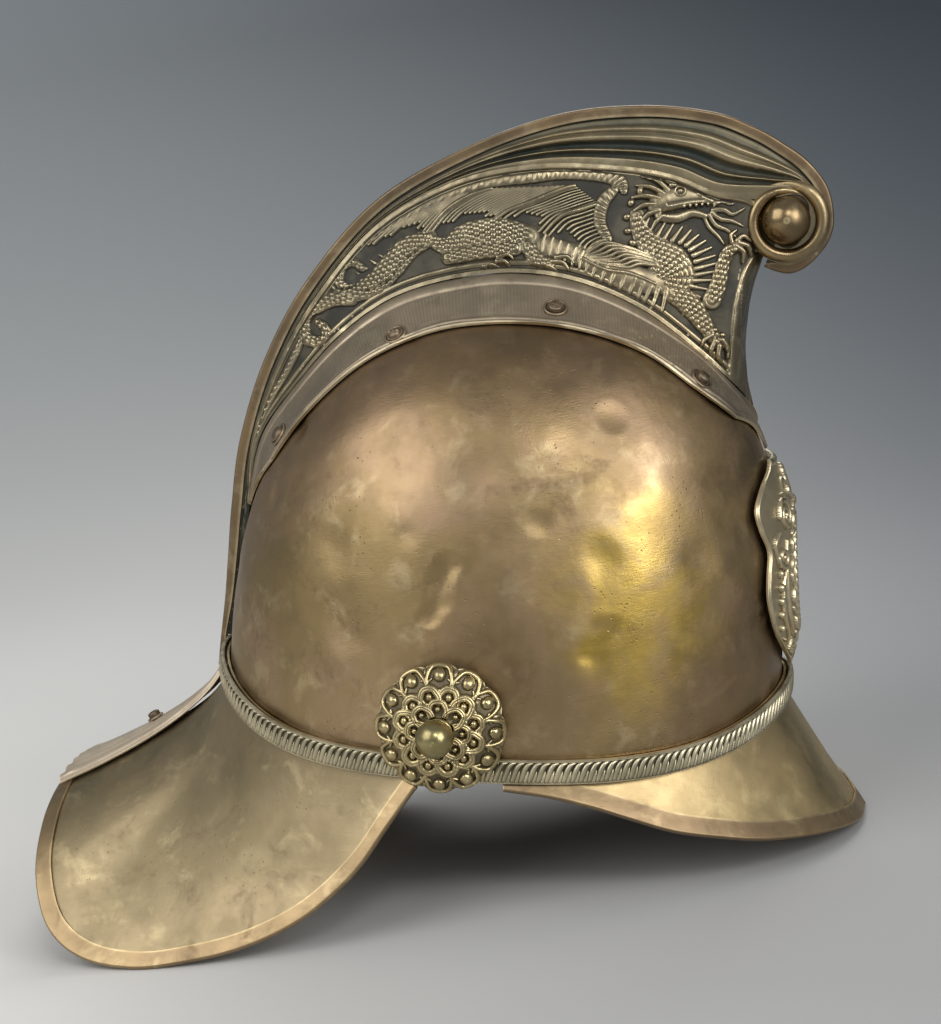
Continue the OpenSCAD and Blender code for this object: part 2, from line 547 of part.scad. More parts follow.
// Tail of the comb over the rear peak: fluted, wider towards the rim
tail_rows = 12;
tail_flutes = [[-1, 1.9], [-0.86, 4.2], [-0.68, 3.6], [-0.5, 4.6], [-0.32, 3.8], [-0.15, 4.7], [0, 4.2],
    [0.15, 4.7], [0.32, 3.8], [0.5, 4.6], [0.68, 3.6], [0.86, 4.2], [1, 1.9]];
tail_start = 0.13;
tail_end = 0.985;
tail_half_top = 8;
tail_half_end = 27;
tail_droop = 2.2;
tail_spread = 1.2;
function tail_frame(t) =
    let (d = 0.01, a = peak_point(true, 0, min(t + d, 1)) - peak_point(true, 0, t - d), e = unit(a))
    [peak_point(true, 0, t), [e.z, 0, -e.x]];
function tail_point(t, s, h) =
    let (f = tail_frame(t), half = tail_half_top + (tail_half_end - tail_half_top) * pow(t, tail_spread))
    f[0] + f[1] * h + [0, s * half, -tail_droop * s * s * t];
tail_grid = [for (i = [0:tail_rows])
    [for (p = tail_flutes)
        let (t = tail_start + (tail_end - tail_start) * i / tail_rows) tail_point(t, -p.x, p.y)]];
tail_stud_at = 0.66;
tail_stud_r = 2;
tail_stud_head_r = 3.6;
tail_stud_head_h = 3.4;
tail_stud_step = 1;
tail_stud_seat = 5;
tail_nut_r = 4;
tail_nut_t = 3;
tail_nut_gap = 0.8;

// Lining
lining_gap = 0.3;
band_rise_over_edge = 3;
tongue_spread = 17;
tongue_overlap = 8;
lace_height = 120 * crown_height / drawn_skull.z;
hem_r = 2.6;
hem_bore = lace_d / 2 + 0.5;
tongue_rows = 8;
tongue_columns = 4;
tongue_waist = 0.25;
sweat_columns = 48;
spacer_spread = 5;
spacer_low = 12;
spacer_high = 27;
spacer_columns = 4;
function oval(a, b, phi, z) = [a * plan_x(phi), b * plan_y(phi), z];
function sweat_low(phi) = band_z(phi) - edge_drop + band_rise_over_edge;
function tongue_point(phi, t, off) =
    let (w = 1 - cos(90 * t), low = sweat_low(phi) + sweatband_height - tongue_overlap,
         start = oval(head_length / 2 - off, head_width / 2 - off, phi, low),
         end = (lace_radius + leather) * [cos(phi), sin(phi), 0], top = lace_height + leather / 2 - off)
    [start.x + (end.x - start.x) * w, start.y + (end.y - start.y) * w, low + (top - low) * sin(90 * t)];

module skull() {
    poles = [[0, 0, crown_height], [0, 0, crown_height - sheet]];
    color(worn_brass) stand() difference() {
        dome_between(skull_outer, inset(skull_outer, sheet, true), poles);
        for (right = [false, true]) {
            on_stud_axis(right, half_width - drill)
                cylinder(h = 2 * drill, r = stud_d / 2 + hole_gap, $fn = 32);
            on_side(right) for (i = bolt_list)
                rod(bolt_seats[i], bolt_seats[i] - bolt_axes[i] * (bolt_depths[i] + drill),
                    comb_bolt_d / 2 + hole_gap);
        }
        rivet_holes(false);
        rivet_holes(true);
        for (z = plate_stud_heights)
            translate([skull_at(0, z, 0).x - drill, 0, z]) rotate([0, 90, 0])
                cylinder(h = 2 * drill, r = plate_stud_r + hole_gap, $fn = 24);
    }
}

module rivet_holes(rear)
    for (phi = rivet_angles(rear))
        rod(wall(phi, -drill, 0), wall(phi, drill, 0), peak_rivet_d / 2 + hole_gap, 20);

module front_peak() {
    grid = peak_grid(false, front_stations);
    color(brass) stand() difference() {
        sheet_between(grid, inset(grid, sheet));
        rivet_holes(false);
    }
}

module rear_peak() {
    grid = peak_grid(true, rear_stations);
    f = tail_frame(tail_stud_at);
    color(brass) stand() difference() {
        sheet_between(grid, inset(grid, sheet));
        rivet_holes(true);
        rod(f[0] - f[1] * drill, f[0] + f[1] * drill, tail_stud_r + hole_gap);
    }
}

module front_peak_binding()
    color(brass) stand() sheet_between(front_binding, inset(front_binding, binding_sheet));
module rear_peak_binding()
    color(brass) stand() sheet_between(rear_binding, inset(rear_binding, binding_sheet));

// Each rivet is a shank with a flat head outside the collar and another inside the skull
module peak_rivets(rear) {
    r = peak_rivet_d / 2;
    head_r = r + rivet_head_wider;
    inner = rivet_in - rivet_head_t;
    outer = rivet_out + rivet_head_t;
    color(brass) stand() for (phi = rivet_angles(rear)) {
        rod(wall(phi, inner, 0), wall(phi, outer, 0), r, 20);
        rod(wall(phi, rivet_out, 0), wall(phi, outer, 0), head_r, 20);
        rod(wall(phi, inner, 0), wall(phi, rivet_in, 0), head_r, 20);
    }
}
module peak_rivets_front() peak_rivets(false);
module peak_rivets_rear() peak_rivets(true);

// Each band runs from one rosette to the other, with a slightly crowned face
module base_band(from, to, steps) {
    function row(off, dz) = [for (j = [0:steps]) wall(from + (to - from) * j / steps, off, dz)];
    h = band_width / 2;
    crown = band_outer + band_crown;
    outer = [row(band_outer, h), row(crown, h / 2), row(crown, -h / 2), row(band_outer, -h)];
    inner = [row(band_off, h), row(band_off, h / 2), row(band_off, -h / 2), row(band_off, -h)];
    color(brass) stand() sheet_between(outer, inner);
}
module base_band_front() base_band(band_trim - rosette_angle, rosette_angle - band_trim, 44);
module base_band_rear() base_band(rosette_angle + band_trim, 360 - rosette_angle - band_trim, 40);

// One half of the comb: crest ribs, side panel with its figure, flange and the scroll's ball
module comb_half(right) {
    color(worn_brass) stand() on_side(right) difference() {
        union() {
            sheet_between(panel_grid, inset(panel_grid, sheet));
            sheet_between(rib_grid, [for (row = rib_grid) [for (q = row) q - [0, sheet, 0]]]);
            for (roll = dragon) embossed(roll);
            translate([scroll_centre.x, panel_side, scroll_centre.z]) rotate([-90, 0, 0]) scroll_boss();
        }
        for (i = bolt_list)
            rod(bolt_seats[i] - bolt_axes[i] * drill, bolt_seats[i] + bolt_axes[i] * drill,
                comb_bolt_d / 2 + hole_gap);
    }
}
module comb_left() comb_half(false);
module comb_right() comb_half(true);

// One raised roll of the figure, with its foot inside the panel's sheet
module embossed(roll) {
    steps = [0:len(roll) - 1];
    sheet_between([for (i = steps) roll_row(roll, i, true)], [for (i = steps) roll_row(roll, i, false)]);
}

// Boss of the scroll: a raised ring round a hollow ball
module scroll_boss() {
    r = scroll_ball_d / 2;
    ring = scroll_ring_r;
    bead = 1.6;
    rotate_extrude($fn = 40) polygon(concat(
        [[ring, -scroll_depth], [ring, bead / 2], [ring - 1, bead], [r + 1, bead], [r, 0.6]],
        [for (a = [10:10:80]) [r * cos(a), r * sin(a)]],
        [[0, r], [0, r - sheet]],
        [for (a = [80:-10:10]) [(r - sheet) * cos(a), (r - sheet) * sin(a)]],
        [[r - sheet, -scroll_depth]]));
}

module comb_crest_binding()
    color(brass) stand() sheet_between(crest_grid, inset(crest_grid, binding_thickness));

module comb_bolts(right) {
    color(brass) stand() on_side(right) for (i = bolt_list) {
        axis = bolt_axes[i];
        seat = bolt_seats[i] + axis * comb_head_gap;
        rod(bolt_seats[i] - axis * (bolt_depths[i] + comb_nut_t + bolt_end), seat + axis, comb_bolt_d / 2);
        rod(seat, seat + axis * comb_head_t, comb_head_d / 2);
    }
}
module comb_bolts_left() comb_bolts(false);
module comb_bolts_right() comb_bolts(true);

module comb_nuts(right) {
    color(brass) stand() on_side(right) for (i = bolt_list) {
        axis = bolt_axes[i];
        top = bolt_seats[i] - axis * bolt_depths[i];
        difference() {
            rod(top - axis * comb_nut_t, top, comb_nut_r);
            rod(top - axis * drill, top + axis, comb_bolt_d / 2 + nut_gap);
        }
    }
}
module comb_nuts_left() comb_nuts(false);
module comb_nuts_right() comb_nuts(true);

module comb_tail() {
    f = tail_frame(tail_stud_at);
    color(worn_brass) stand() difference() {
        sheet_between(tail_grid, inset(tail_grid, sheet));
        rod(f[0] + f[1], f[0] + f[1] * 2 * drill, tail_stud_r + hole_gap);
    }
}

module tail_stud() {
    f = tail_frame(tail_stud_at);
    up = f[1];
    seat = f[0] + up * tail_stud_seat;
    color(brass) stand() {
        rod(f[0] - up * (sheet + tail_nut_gap + tail_nut_t + tail_stud_step), seat + up, tail_stud_r);
        rod(seat, seat + up * (tail_stud_head_h - tail_stud_step), tail_stud_head_r);
        rod(seat + up, seat + up * tail_stud_head_h, tail_stud_head_r - tail_stud_step);
    }
}

module tail_nut() {
    f = tail_frame(tail_stud_at);
    top = f[0] - f[1] * (sheet + tail_nut_gap);
    color(brass) stand() difference() {
        rod(top - f[1] * tail_nut_t, top, tail_nut_r);
        rod(top - f[1] * drill, top + f[1], tail_stud_r + nut_gap);
    }
}

// Rosette: a dished disc with beads round its rim
module rosette(right) {
    r = rosette_d / 2;
    hub = collar_r - 2;
    steps = 8;
    dome = [for (k = [0:steps])
        let (q = hub + (r - hub) * k / steps)
        [q, rosette_dome * pow(1 - pow(q / r, 2.4), 0.7)]];
    under = [for (k = [steps:-1:0])
        [dome[k].x - (k == steps ? rosette_sheet : 0), max(dome[k].y - rosette_sheet, 0)]];
    color(brass) stand() on_stud_axis(right, rim_y) difference() {
        union() {
            rotate_extrude($fn = 48) polygon(concat(dome, under));
            intersection() {
                for (k = [0:bead_count - 1])
                    rotate(360 * k / bead_count) translate([r - bead_r, 0, 1]) sphere(r = bead_r, $fn = 16);
                cylinder(h = rosette_dome, r = r + bead_r, $fn = 48);
            }
        }
        translate([0, 0, -1]) cylinder(h = rosette_dome + 3, r = stud_d / 2 + hole_gap, $fn = 32);
    }
}
module rosette_left() rosette(false);
module rosette_right() rosette(true);

module tube(outer_r, inner_r, h)
    difference() {
        cylinder(h = h, r = outer_r, $fn = 32);
        translate([0, 0, -1]) cylinder(h = h + 2, r = inner_r, $fn = 32);
    }

module rosette_bush(right)
    color(brass) stand() on_stud_axis(right, wall_out_y)
        tube(collar_r, stud_d / 2 + hole_gap, apex_y - rosette_sheet - bush_gap - wall_out_y);
module rosette_bush_left() rosette_bush(false);
module rosette_bush_right() rosette_bush(true);

module ball_stud(right)
    color(brass) stand() on_stud_axis(right, 0) {
        translate([0, 0, ball_y]) sphere(r = ball_d / 2, $fn = 40);
        translate([0, 0, collar_y]) cylinder(h = collar_t, r = collar_r, $fn = 32);
        translate([0, 0, stud_end_y]) cylinder(h = ball_y - stud_end_y, r = stud_d / 2, $fn = 32);
    }
module ball_stud_left() ball_stud(false);
module ball_stud_right() ball_stud(true);

module stud_washer(right)
    color(brass) stand() on_stud_axis(right, lug_y + touch_gap)
        tube(collar_r, stud_d / 2 + hole_gap, wall_in_y - lug_y - touch_gap);
module stud_washer_left() stud_washer(false);
module stud_washer_right() stud_washer(true);

module stud_nut(right)
    color(brass) stand() on_stud_axis(right, stud_nut_y) difference() {
        cylinder(h = nut_t, r = stud_nut_af / sqrt(3), $fn = 6);
        translate([0, 0, -1]) cylinder(h = nut_t + 2, r = stud_d / 2 + nut_gap, $fn = 32);
    }
module stud_nut_left() stud_nut(false);
module stud_nut_right() stud_nut(true);

// Chin strap lug: hangs straight down from its stud and swings fore and aft
module strap_lug(right) {
    half = strap_width / 2 + lug_margin;
    low = -lug_length;
    neck = low + lug_slot_h + 2 * lug_margin;
    cut = 2;
    slot_w = strap_width + 2 * seat_gap;
    pivot = stood([stud_x, 0, rosette_height]);
    color(brass) on_side(right) translate([pivot.x, lug_y, pivot.z]) rotate([90, 0, 0])
        linear_extrude(lug_thickness) difference() {
            union() {
                circle(r = lug_eye_r, $fn = 40);
                polygon([[-lug_eye_r, 0], [-half, neck], [-half, low + cut], [cut - half, low],
                         [half - cut, low], [half, low + cut], [half, neck], [lug_eye_r, 0]]);
            }
            circle(r = stud_d / 2 + lug_swing_gap, $fn = 40);
            translate([-slot_w / 2, low + lug_margin]) square([slot_w, lug_slot_h]);
        }
}
module strap_lug_left() strap_lug(false);
module strap_lug_right() strap_lug(true);

module front_plate() {
    color(worn_brass) stand() {
        sheet_between(plate_grid, inset(plate_grid, sheet));
        for (z = plate_stud_heights) {
            back = plate_nut_in + plate_stud_end;
            front = plate_edge_off + 0.9 * plate_swell - sheet / 2;
            translate([skull_at(0, z, 0).x - back, 0, z]) rotate([0, 90, 0])
                cylinder(h = back + front, r = plate_stud_r, $fn = 24);
        }
    }
}

module front_plate_nuts()
    color(brass) stand() for (z = plate_stud_heights)
        translate([skull_at(0, z, 0).x - plate_nut_in, 0, z]) rotate([0, 90, 0]) difference() {
            cylinder(h = plate_nut_t, r = plate_nut_r, $fn = 6);
            translate([0, 0, -1]) cylinder(h = plate_nut_t + 2, r = plate_stud_r + nut_gap, $fn = 24);
        }

module sweatband() {
    function ring(off, rise) = [for (j = [0:sweat_columns - 1])
        let (phi = 360 * j / sweat_columns)
        oval(head_length / 2 + off, head_width / 2 + off, phi, sweat_low(phi) + rise)];
    heights = [sweatband_height, sweatband_height / 2, 0];
    color(leather_brown) stand()
        sheet_between([for (h = heights) ring(leather, h)], [for (h = heights) ring(0, h)], true);
}

// One leather tongue, from inside the sweatband up to its hem on the lace
module lining_tongue(i) {
    middle = 360 * (i - 0.5) / tongue_count;
    spread = tongue_spread * 8 / tongue_count;
    function leaf(off) = [for (r = [0:tongue_rows]) [for (j = [0:tongue_columns])
        let (t = 1 - r / tongue_rows, s = (2 * j / tongue_columns - 1) * (1 - tongue_waist * sin(180 * t)))
        tongue_point(middle + s * spread, t, off)]];
    color(leather_brown) stand() {
        sheet_between(leaf(lining_gap), leaf(lining_gap + leather));
        translate([0, 0, lace_height]) rotate(middle - spread + 1)
            rotate_extrude(angle = 2 * spread - 2, $fn = 64) translate([lace_radius, 0]) difference() {
                circle(r = hem_r, $fn = 20);
                circle(r = hem_bore, $fn = 20);
            }
    }
}

module lining_lace()
    color("#c8b48a") stand() translate([0, 0, lace_height]) {
        rotate_extrude($fn = 64) translate([lace_radius, 0]) circle(r = lace_d / 2, $fn = 16);
        translate([lace_radius, 0, 0]) sphere(r = lace_d, $fn = 20);
    }

module lining_spacer(i) {
    middle = spacer_angles[i - 1];
    room = leather + lining_gap;
    function edge(z, outer) = [for (j = [0:spacer_columns])
        let (phi = middle + (2 * j / spacer_columns - 1) * spacer_spread)
        outer ? skull_at(phi, z, -sheet - lining_gap - touch_gap)
              : oval(head_length / 2 + room, head_width / 2 + room, phi, z)];
    color(cork) stand()
        sheet_between([edge(spacer_high, true), edge(spacer_low, true)],
            [edge(spacer_high, false), edge(spacer_low, false)]);
}

skull();
front_peak();
rear_peak();
front_peak_binding();
rear_peak_binding();
peak_rivets_front();
peak_rivets_rear();
base_band_front();
base_band_rear();
comb_right();
comb_left();
comb_crest_binding();
comb_bolts_right();
comb_bolts_left();
comb_nuts_right();
comb_nuts_left();
comb_tail();
tail_stud();
tail_nut();
rosette_right();
rosette_left();
rosette_bush_right();
rosette_bush_left();
ball_stud_right();
ball_stud_left();
stud_washer_right();
stud_washer_left();
stud_nut_right();
stud_nut_left();
strap_lug_right();
strap_lug_left();
front_plate();
front_plate_nuts();
sweatband();
lining_lace();
for (i = [1:tongue_count]) lining_tongue(i);
for (i = [1:len(spacer_angles)]) lining_spacer(i);
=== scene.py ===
"""Looks of an old brass fire helmet: pressed skull and peaks, a tall embossed comb and a laced lining.

Shapes are drawn in the helmet's worn frame, in millimetres: X forward, Y to the wearer's left, Z up, with
zero at the middle of the skull's base. A Stance then stands them on the floor, in metres.
"""

import logging
import math
from collections.abc import Sequence
from dataclasses import dataclass, field
from enum import Enum

import bpy
import numpy as np
from mathutils import Matrix, Vector
from numpy.typing import NDArray


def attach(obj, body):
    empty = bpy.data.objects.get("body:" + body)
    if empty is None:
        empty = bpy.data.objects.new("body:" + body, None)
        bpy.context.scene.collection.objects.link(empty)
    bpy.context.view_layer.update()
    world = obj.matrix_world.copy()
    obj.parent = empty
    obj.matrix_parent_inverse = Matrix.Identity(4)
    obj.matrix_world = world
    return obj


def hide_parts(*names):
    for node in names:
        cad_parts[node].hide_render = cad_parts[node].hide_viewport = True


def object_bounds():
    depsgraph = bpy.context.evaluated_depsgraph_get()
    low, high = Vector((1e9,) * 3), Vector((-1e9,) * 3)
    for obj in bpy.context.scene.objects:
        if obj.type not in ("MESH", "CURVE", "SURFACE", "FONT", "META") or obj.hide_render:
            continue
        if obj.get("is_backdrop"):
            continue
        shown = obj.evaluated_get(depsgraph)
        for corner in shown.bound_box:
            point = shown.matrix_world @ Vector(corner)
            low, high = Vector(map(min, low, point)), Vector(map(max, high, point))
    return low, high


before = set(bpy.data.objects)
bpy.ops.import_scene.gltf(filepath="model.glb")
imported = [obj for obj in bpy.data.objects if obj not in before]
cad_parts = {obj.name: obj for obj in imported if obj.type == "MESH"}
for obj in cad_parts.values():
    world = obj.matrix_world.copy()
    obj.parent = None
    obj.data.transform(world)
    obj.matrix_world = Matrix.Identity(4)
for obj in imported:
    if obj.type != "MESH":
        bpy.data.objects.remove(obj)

log = logging.getLogger("helmet")
Array = NDArray[np.float64]
Colour = tuple[float, float, float]
Knots = tuple[tuple[float, ...], ...]
TAU = 2 * math.pi
FAR = 1e9
RIPPLE_PEAK = 1.6


class Side(Enum):
    """Which side of the helmet a piece is on, as the sign of Y."""

    LEFT = 1
    RIGHT = -1

    @property
    def word(self) -> str:
        """The side's name as the frame spells it."""
        return self.name.lower()


class End(Enum):
    """Which end of the helmet a peak or a band is at."""

    FRONT = "front"
    REAR = "rear"


# Curves and surfaces


def signed_power(v: Array, e: float) -> Array:
    """v raised to e, with its sign kept."""
    return np.sign(v) * np.abs(v) ** e


def unit(v: Array) -> Array:
    """v with its last axis scaled to length one."""
    return v / np.maximum(np.linalg.norm(v, axis=-1, keepdims=True), 1e-12)


def spline(knots: Array, t: Array) -> Array:
    """Smooth curve through knots.

    Args:
        knots: Points, along the first axis.
        t: Places along the curve, from 0 to the number of spans.

    Returns:
        One point for each place.
    """
    p = np.asarray(knots, float)
    t = np.atleast_1d(np.asarray(t, float))
    n = len(p) - 1
    i = np.clip(np.floor(t).astype(int), 0, n - 1)
    f = (t - i).reshape(t.shape + (1,) * (p.ndim - 1))
    a, b, c, d = p[np.maximum(i - 1, 0)], p[i], p[i + 1], p[np.minimum(i + 2, n)]
    return 0.5 * (2 * b + (c - a) * f + (2 * a - 5 * b + 4 * c - d) * f**2 + (3 * b - a - 3 * c + d) * f**3)


def through(knots: Sequence[Sequence[float]], count: int) -> Array:
    """count points of the smooth curve through knots."""
    return spline(np.asarray(knots, float), np.linspace(0, len(knots) - 1, count))


def grid_normals(g: Array, wrap: bool = False) -> Array:
    """Unit normals of a grid of points, along rows crossed with columns.

    Args:
        g: Points, rows by columns by three.
        wrap: True if the last column meets the first.

    Returns:
        One normal for each point.
    """
    down = np.gradient(g, axis=0)
    across = (np.roll(g, -1, 1) - np.roll(g, 1, 1)) / 2 if wrap else np.gradient(g, axis=1)
    return unit(np.cross(down, across))


def smooth_step(low: float, high: float, v: Array) -> Array:
    """0 below low, 1 above high and a smooth rise between."""
    t = np.clip((v - low) / (high - low), 0, 1)
    return t * t * (3 - 2 * t)


def half_round(v: Array) -> Array:
    """Height of a half circle of radius one over places v."""
    return np.sqrt(np.clip(1 - v**2, 0, 1))


def hump(v: Array, middle: float, width: float) -> Array:
    """A smooth hump of height one at middle."""
    return np.exp(-(((v - middle) / width) ** 2))


def ripple(p: Array, seed: int, scale: float, count: int = 9) -> Array:
    """Soft unevenness of hand-beaten sheet, about -1 to 1.

    Args:
        p: Places, by three.
        seed: Choice of pattern.
        scale: Size of the waves, in the places' own unit.
        count: How many waves are added up.

    Returns:
        One height for each place.
    """
    rng = np.random.default_rng(seed)
    total = np.zeros(p.shape[:-1])
    for _ in range(count):
        k = rng.normal(size=3)
        k *= TAU / scale * rng.uniform(0.5, 1.3) / np.linalg.norm(k)
        total += np.sin(k[0] * p[..., 0] + k[1] * p[..., 1] + k[2] * p[..., 2] + rng.uniform(0, TAU))
    return total / math.sqrt(count) / RIPPLE_PEAK


@dataclass(frozen=True)
class Stance:
    """How the worn frame stands on the floor: pitch about Y in degrees, then a shift in millimetres."""

    pitch: float = 10.0595
    shift: tuple[float, float, float] = (16.2429, 0.0, 73.8672)

    def turn(self, v: Array) -> Array:
        """A direction of the worn frame as it stands on the floor.

        Args:
            v: Directions, by three.

        Returns:
            The turned directions.
        """
        c, s = math.cos(math.radians(self.pitch)), math.sin(math.radians(self.pitch))
        v = np.asarray(v, float)
        return np.stack([v[..., 0] * c + v[..., 2] * s, v[..., 1], v[..., 2] * c - v[..., 0] * s], -1)

    def place(self, p: Array) -> Array:
        """Points of the worn frame in metres on the floor."""
        return (self.turn(p) + np.asarray(self.shift)) / 1000


@dataclass(frozen=True)
class SkullForm:
    """The skull's outer surface: superellipses in plan and in profile."""

    half_length: float = 115.0
    half_width: float = 97.0
    crown: float = 157.0
    sheet: float = 0.9
    plan_power: float = 2.15
    profile_mid: float = 2.65
    profile_swing: float = 0.35
    ear_dip: float = 12.5
    brow_rise: float = 18.0
    nape_rise: float = 22.0
    edge_power: float = 4.3

    def plan_x(self, phi: Array) -> Array:
        """Share of the half length at a plan angle."""
        return signed_power(np.cos(phi), 2 / self.plan_power)

    def plan_y(self, phi: Array) -> Array:
        """Share of the half width at a plan angle."""
        return signed_power(np.sin(phi), 2 / self.plan_power)

    def at(self, phi: Array, z: Array, off: Array | float = 0.0) -> Array:
        """Points of the surface moved outward by off, at plan angles and heights.

        Args:
            phi: Plan angles.
            z: Heights.
            off: How far outward.

        Returns:
            One point for each place.
        """
        px, py = self.plan_x(phi), self.plan_y(phi)
        p = self.profile_mid + self.profile_swing * px
        f = np.clip(np.maximum(z, 0) / (self.crown + off), 0, 1)
        r = (1 - f**p) ** (1 / p)
        x, y, z = np.broadcast_arrays((self.half_length + off) * px * r, (self.half_width + off) * py * r, z)
        return np.stack([x, y, z], -1)

    def top(self, x: Array, y: Array, off: float = 0.0) -> Array:
        """Height of the surface moved outward by off, over plan points.

        Args:
            x: Places along X.
            y: Places along Y.
            off: How far outward.

        Returns:
            One height for each place.
        """
        a, b, e = self.half_length + off, self.half_width + off, self.plan_power
        r = np.maximum(((np.abs(x) / a) ** e + (np.abs(y) / b) ** e) ** (1 / e), 1e-4)
        p = self.profile_mid + self.profile_swing * x / a / r
        return (self.crown + off) * np.maximum(1 - r**p, 0) ** (1 / p)

    def band_z(self, phi: Array) -> Array:
        """Height of the middle of the base band.

        Args:
            phi: Plan angles.

        Returns:
            One height for each angle.
        """
        cx = self.plan_x(phi)
        rise = np.where(cx > 0, self.brow_rise, self.nape_rise) * np.abs(cx) ** self.edge_power
        return rise - self.ear_dip

    def wall(self, phi: Array, off: Array | float, dz: Array | float) -> Array:
        """Points beside the base band's middle line, off outward and dz up.

        Args:
            phi: Plan angles.
            off: How far outward.
            dz: How far up.

        Returns:
            One point for each place.
        """
        e = self.plan_power - 1
        q = self.at(phi, np.zeros_like(phi))
        n = unit(np.stack([signed_power(self.plan_x(phi), e) / self.half_length,
                           signed_power(self.plan_y(phi), e) / self.half_width, np.zeros_like(phi)], -1))
        base = np.stack([q[..., 0], q[..., 1], self.band_z(phi) + dz], -1)
        return base + np.asarray(off)[..., None] * n

    def settled(self, q: Array, off: float) -> Array:
        """Points lifted, where they are lower, onto the surface moved outward by off."""
        z = np.maximum(q[..., 2], self.top(q[..., 0], q[..., 1], off))
        return np.stack([q[..., 0], q[..., 1], z], -1)


SKULL = SkullForm()
STANCE = Stance()


# Meshes


@dataclass
class Shape:
    """Points in the worn frame, the faces between them, and a relief height for each point."""

    points: list[Array] = field(default_factory=list)
    faces: list[NDArray[np.int64]] = field(default_factory=list)
    relief: list[Array] = field(default_factory=list)
    count: int = 0

    def add(self, points: Array, faces: NDArray[np.int64], relief: Array | float = 0.0) -> None:
        """Adds points with the faces between them.

        Args:
            points: Places, by three.
            faces: Corner numbers within points, by three or four.
            relief: Height for each point, for the finish to read.
        """
        p = np.asarray(points, float).reshape(-1, 3)
        self.points.append(p)
        self.faces.append(np.asarray(faces, np.int64) + self.count)
        self.relief.append(np.broadcast_to(np.asarray(relief, float).reshape(-1), (len(p),)).copy())
        self.count += len(p)

    def surface(self, g: Array, wrap: bool = False, relief: Array | float = 0.0, flip: bool = False) -> None:
        """Adds a grid of points as one surface that faces along rows crossed with columns.

        Args:
            g: Points, rows by columns by three.
            wrap: True if the last column meets the first.
            relief: Height for each point, for the finish to read.
            flip: True if it faces the other way.
        """
        n, m = g.shape[:2]
        i, j = np.meshgrid(np.arange(n - 1), np.arange(m if wrap else m - 1), indexing="ij")
        k = (j + 1) % m
        quads = np.stack([i * m + j, (i + 1) * m + j, (i + 1) * m + k, i * m + k], -1).reshape(-1, 4)
        self.add(g, quads[:, ::-1] if flip else quads, relief if np.ndim(relief) else float(relief))

    def sheet(self, outer: Array, inner: Array, wrap: bool = False, relief: Array | float = 0.0) -> None:
        """Adds a closed sheet between two grids of the same size.

        Args:
            outer: Points of the outer face.
            inner: Points of the inner face.
            wrap: True if the last column meets the first.
            relief: Height for each point, for the finish to read.
        """
        n, m = outer.shape[:2]
        k = n * m
        ids = np.arange(k).reshape(n, m)
        j = np.arange(m if wrap else m - 1)
        e = (j + 1) % m
        top = np.stack([ids[0, e], ids[0, e] + k, ids[0, j] + k, ids[0, j]], -1)
        low = np.stack([ids[-1, j], ids[-1, j] + k, ids[-1, e] + k, ids[-1, e]], -1)
        i, jj = np.meshgrid(np.arange(n - 1), j, indexing="ij")
        ee = (jj + 1) % m
        skin = np.stack([i * m + jj, (i + 1) * m + jj, (i + 1) * m + ee, i * m + ee], -1).reshape(-1, 4)
        parts = [skin, skin[:, ::-1] + k, top, low]
        if not wrap:
            r = np.arange(n - 1)
            parts.append(np.stack([ids[r, 0], ids[r, 0] + k, ids[r + 1, 0] + k, ids[r + 1, 0]], -1))
            parts.append(np.stack([ids[r + 1, -1], ids[r + 1, -1] + k, ids[r, -1] + k, ids[r, -1]], -1))
        height = np.broadcast_to(np.asarray(relief, float), (n, m)).reshape(-1)
        self.add(np.concatenate([outer.reshape(-1, 3), inner.reshape(-1, 3)]), np.concatenate(parts),
                 np.concatenate([height, height]))

    def tube(self, path: Array, radius: Array | float, sides: int = 8, closed: bool = False,
             squash: Array | float = 1.0, up: Array | None = None, relief: float = 1.0) -> None:
        """Adds a round or flattened wire along a path.

        Args:
            path: Points of the wire's middle.
            radius: Radius, one for all or one for each point.
            sides: Corners of the section.
            closed: True if the wire's end meets its start.
            squash: Share of the radius that the wire has along up.
            up: Direction that squash acts along, one for all or one for each point.
            relief: Height that the finish reads at the wire's crest.
        """
        p = np.asarray(path, float)
        d = unit(np.roll(p, -1, 0) - np.roll(p, 1, 0)) if closed else unit(np.gradient(p, axis=0))
        if up is None:
            up = np.array([0.0, 0.0, 1.0]) if abs(d[:, 2]).mean() < 0.8 else np.array([1.0, 0.0, 0.0])
        side = unit(np.cross(d, np.broadcast_to(up, p.shape)))
        rise = np.cross(side, d)
        a = np.linspace(0, TAU, sides, endpoint=False)
        r = np.broadcast_to(np.asarray(radius, float), (len(p),))[:, None, None]
        s = np.broadcast_to(np.asarray(squash, float), (len(p),))[:, None, None]
        ring = p[:, None] + r * (np.cos(a)[None, :, None] * side[:, None]
                                 + s * np.sin(a)[None, :, None] * rise[:, None])
        height = np.broadcast_to(relief * (0.5 + 0.5 * np.sin(a)), ring.shape[:2])
        start = self.count
        if closed:
            ring, height = np.concatenate([ring, ring[:1]]), np.concatenate([height, height[:1]])
        self.surface(ring, wrap=True, relief=height)
        if not closed:
            n = len(p)
            self.faces.append(np.array([list(range(start + sides - 1, start - 1, -1))]))
            self.faces.append(np.array([[start + (n - 1) * sides + k for k in range(sides)]]))

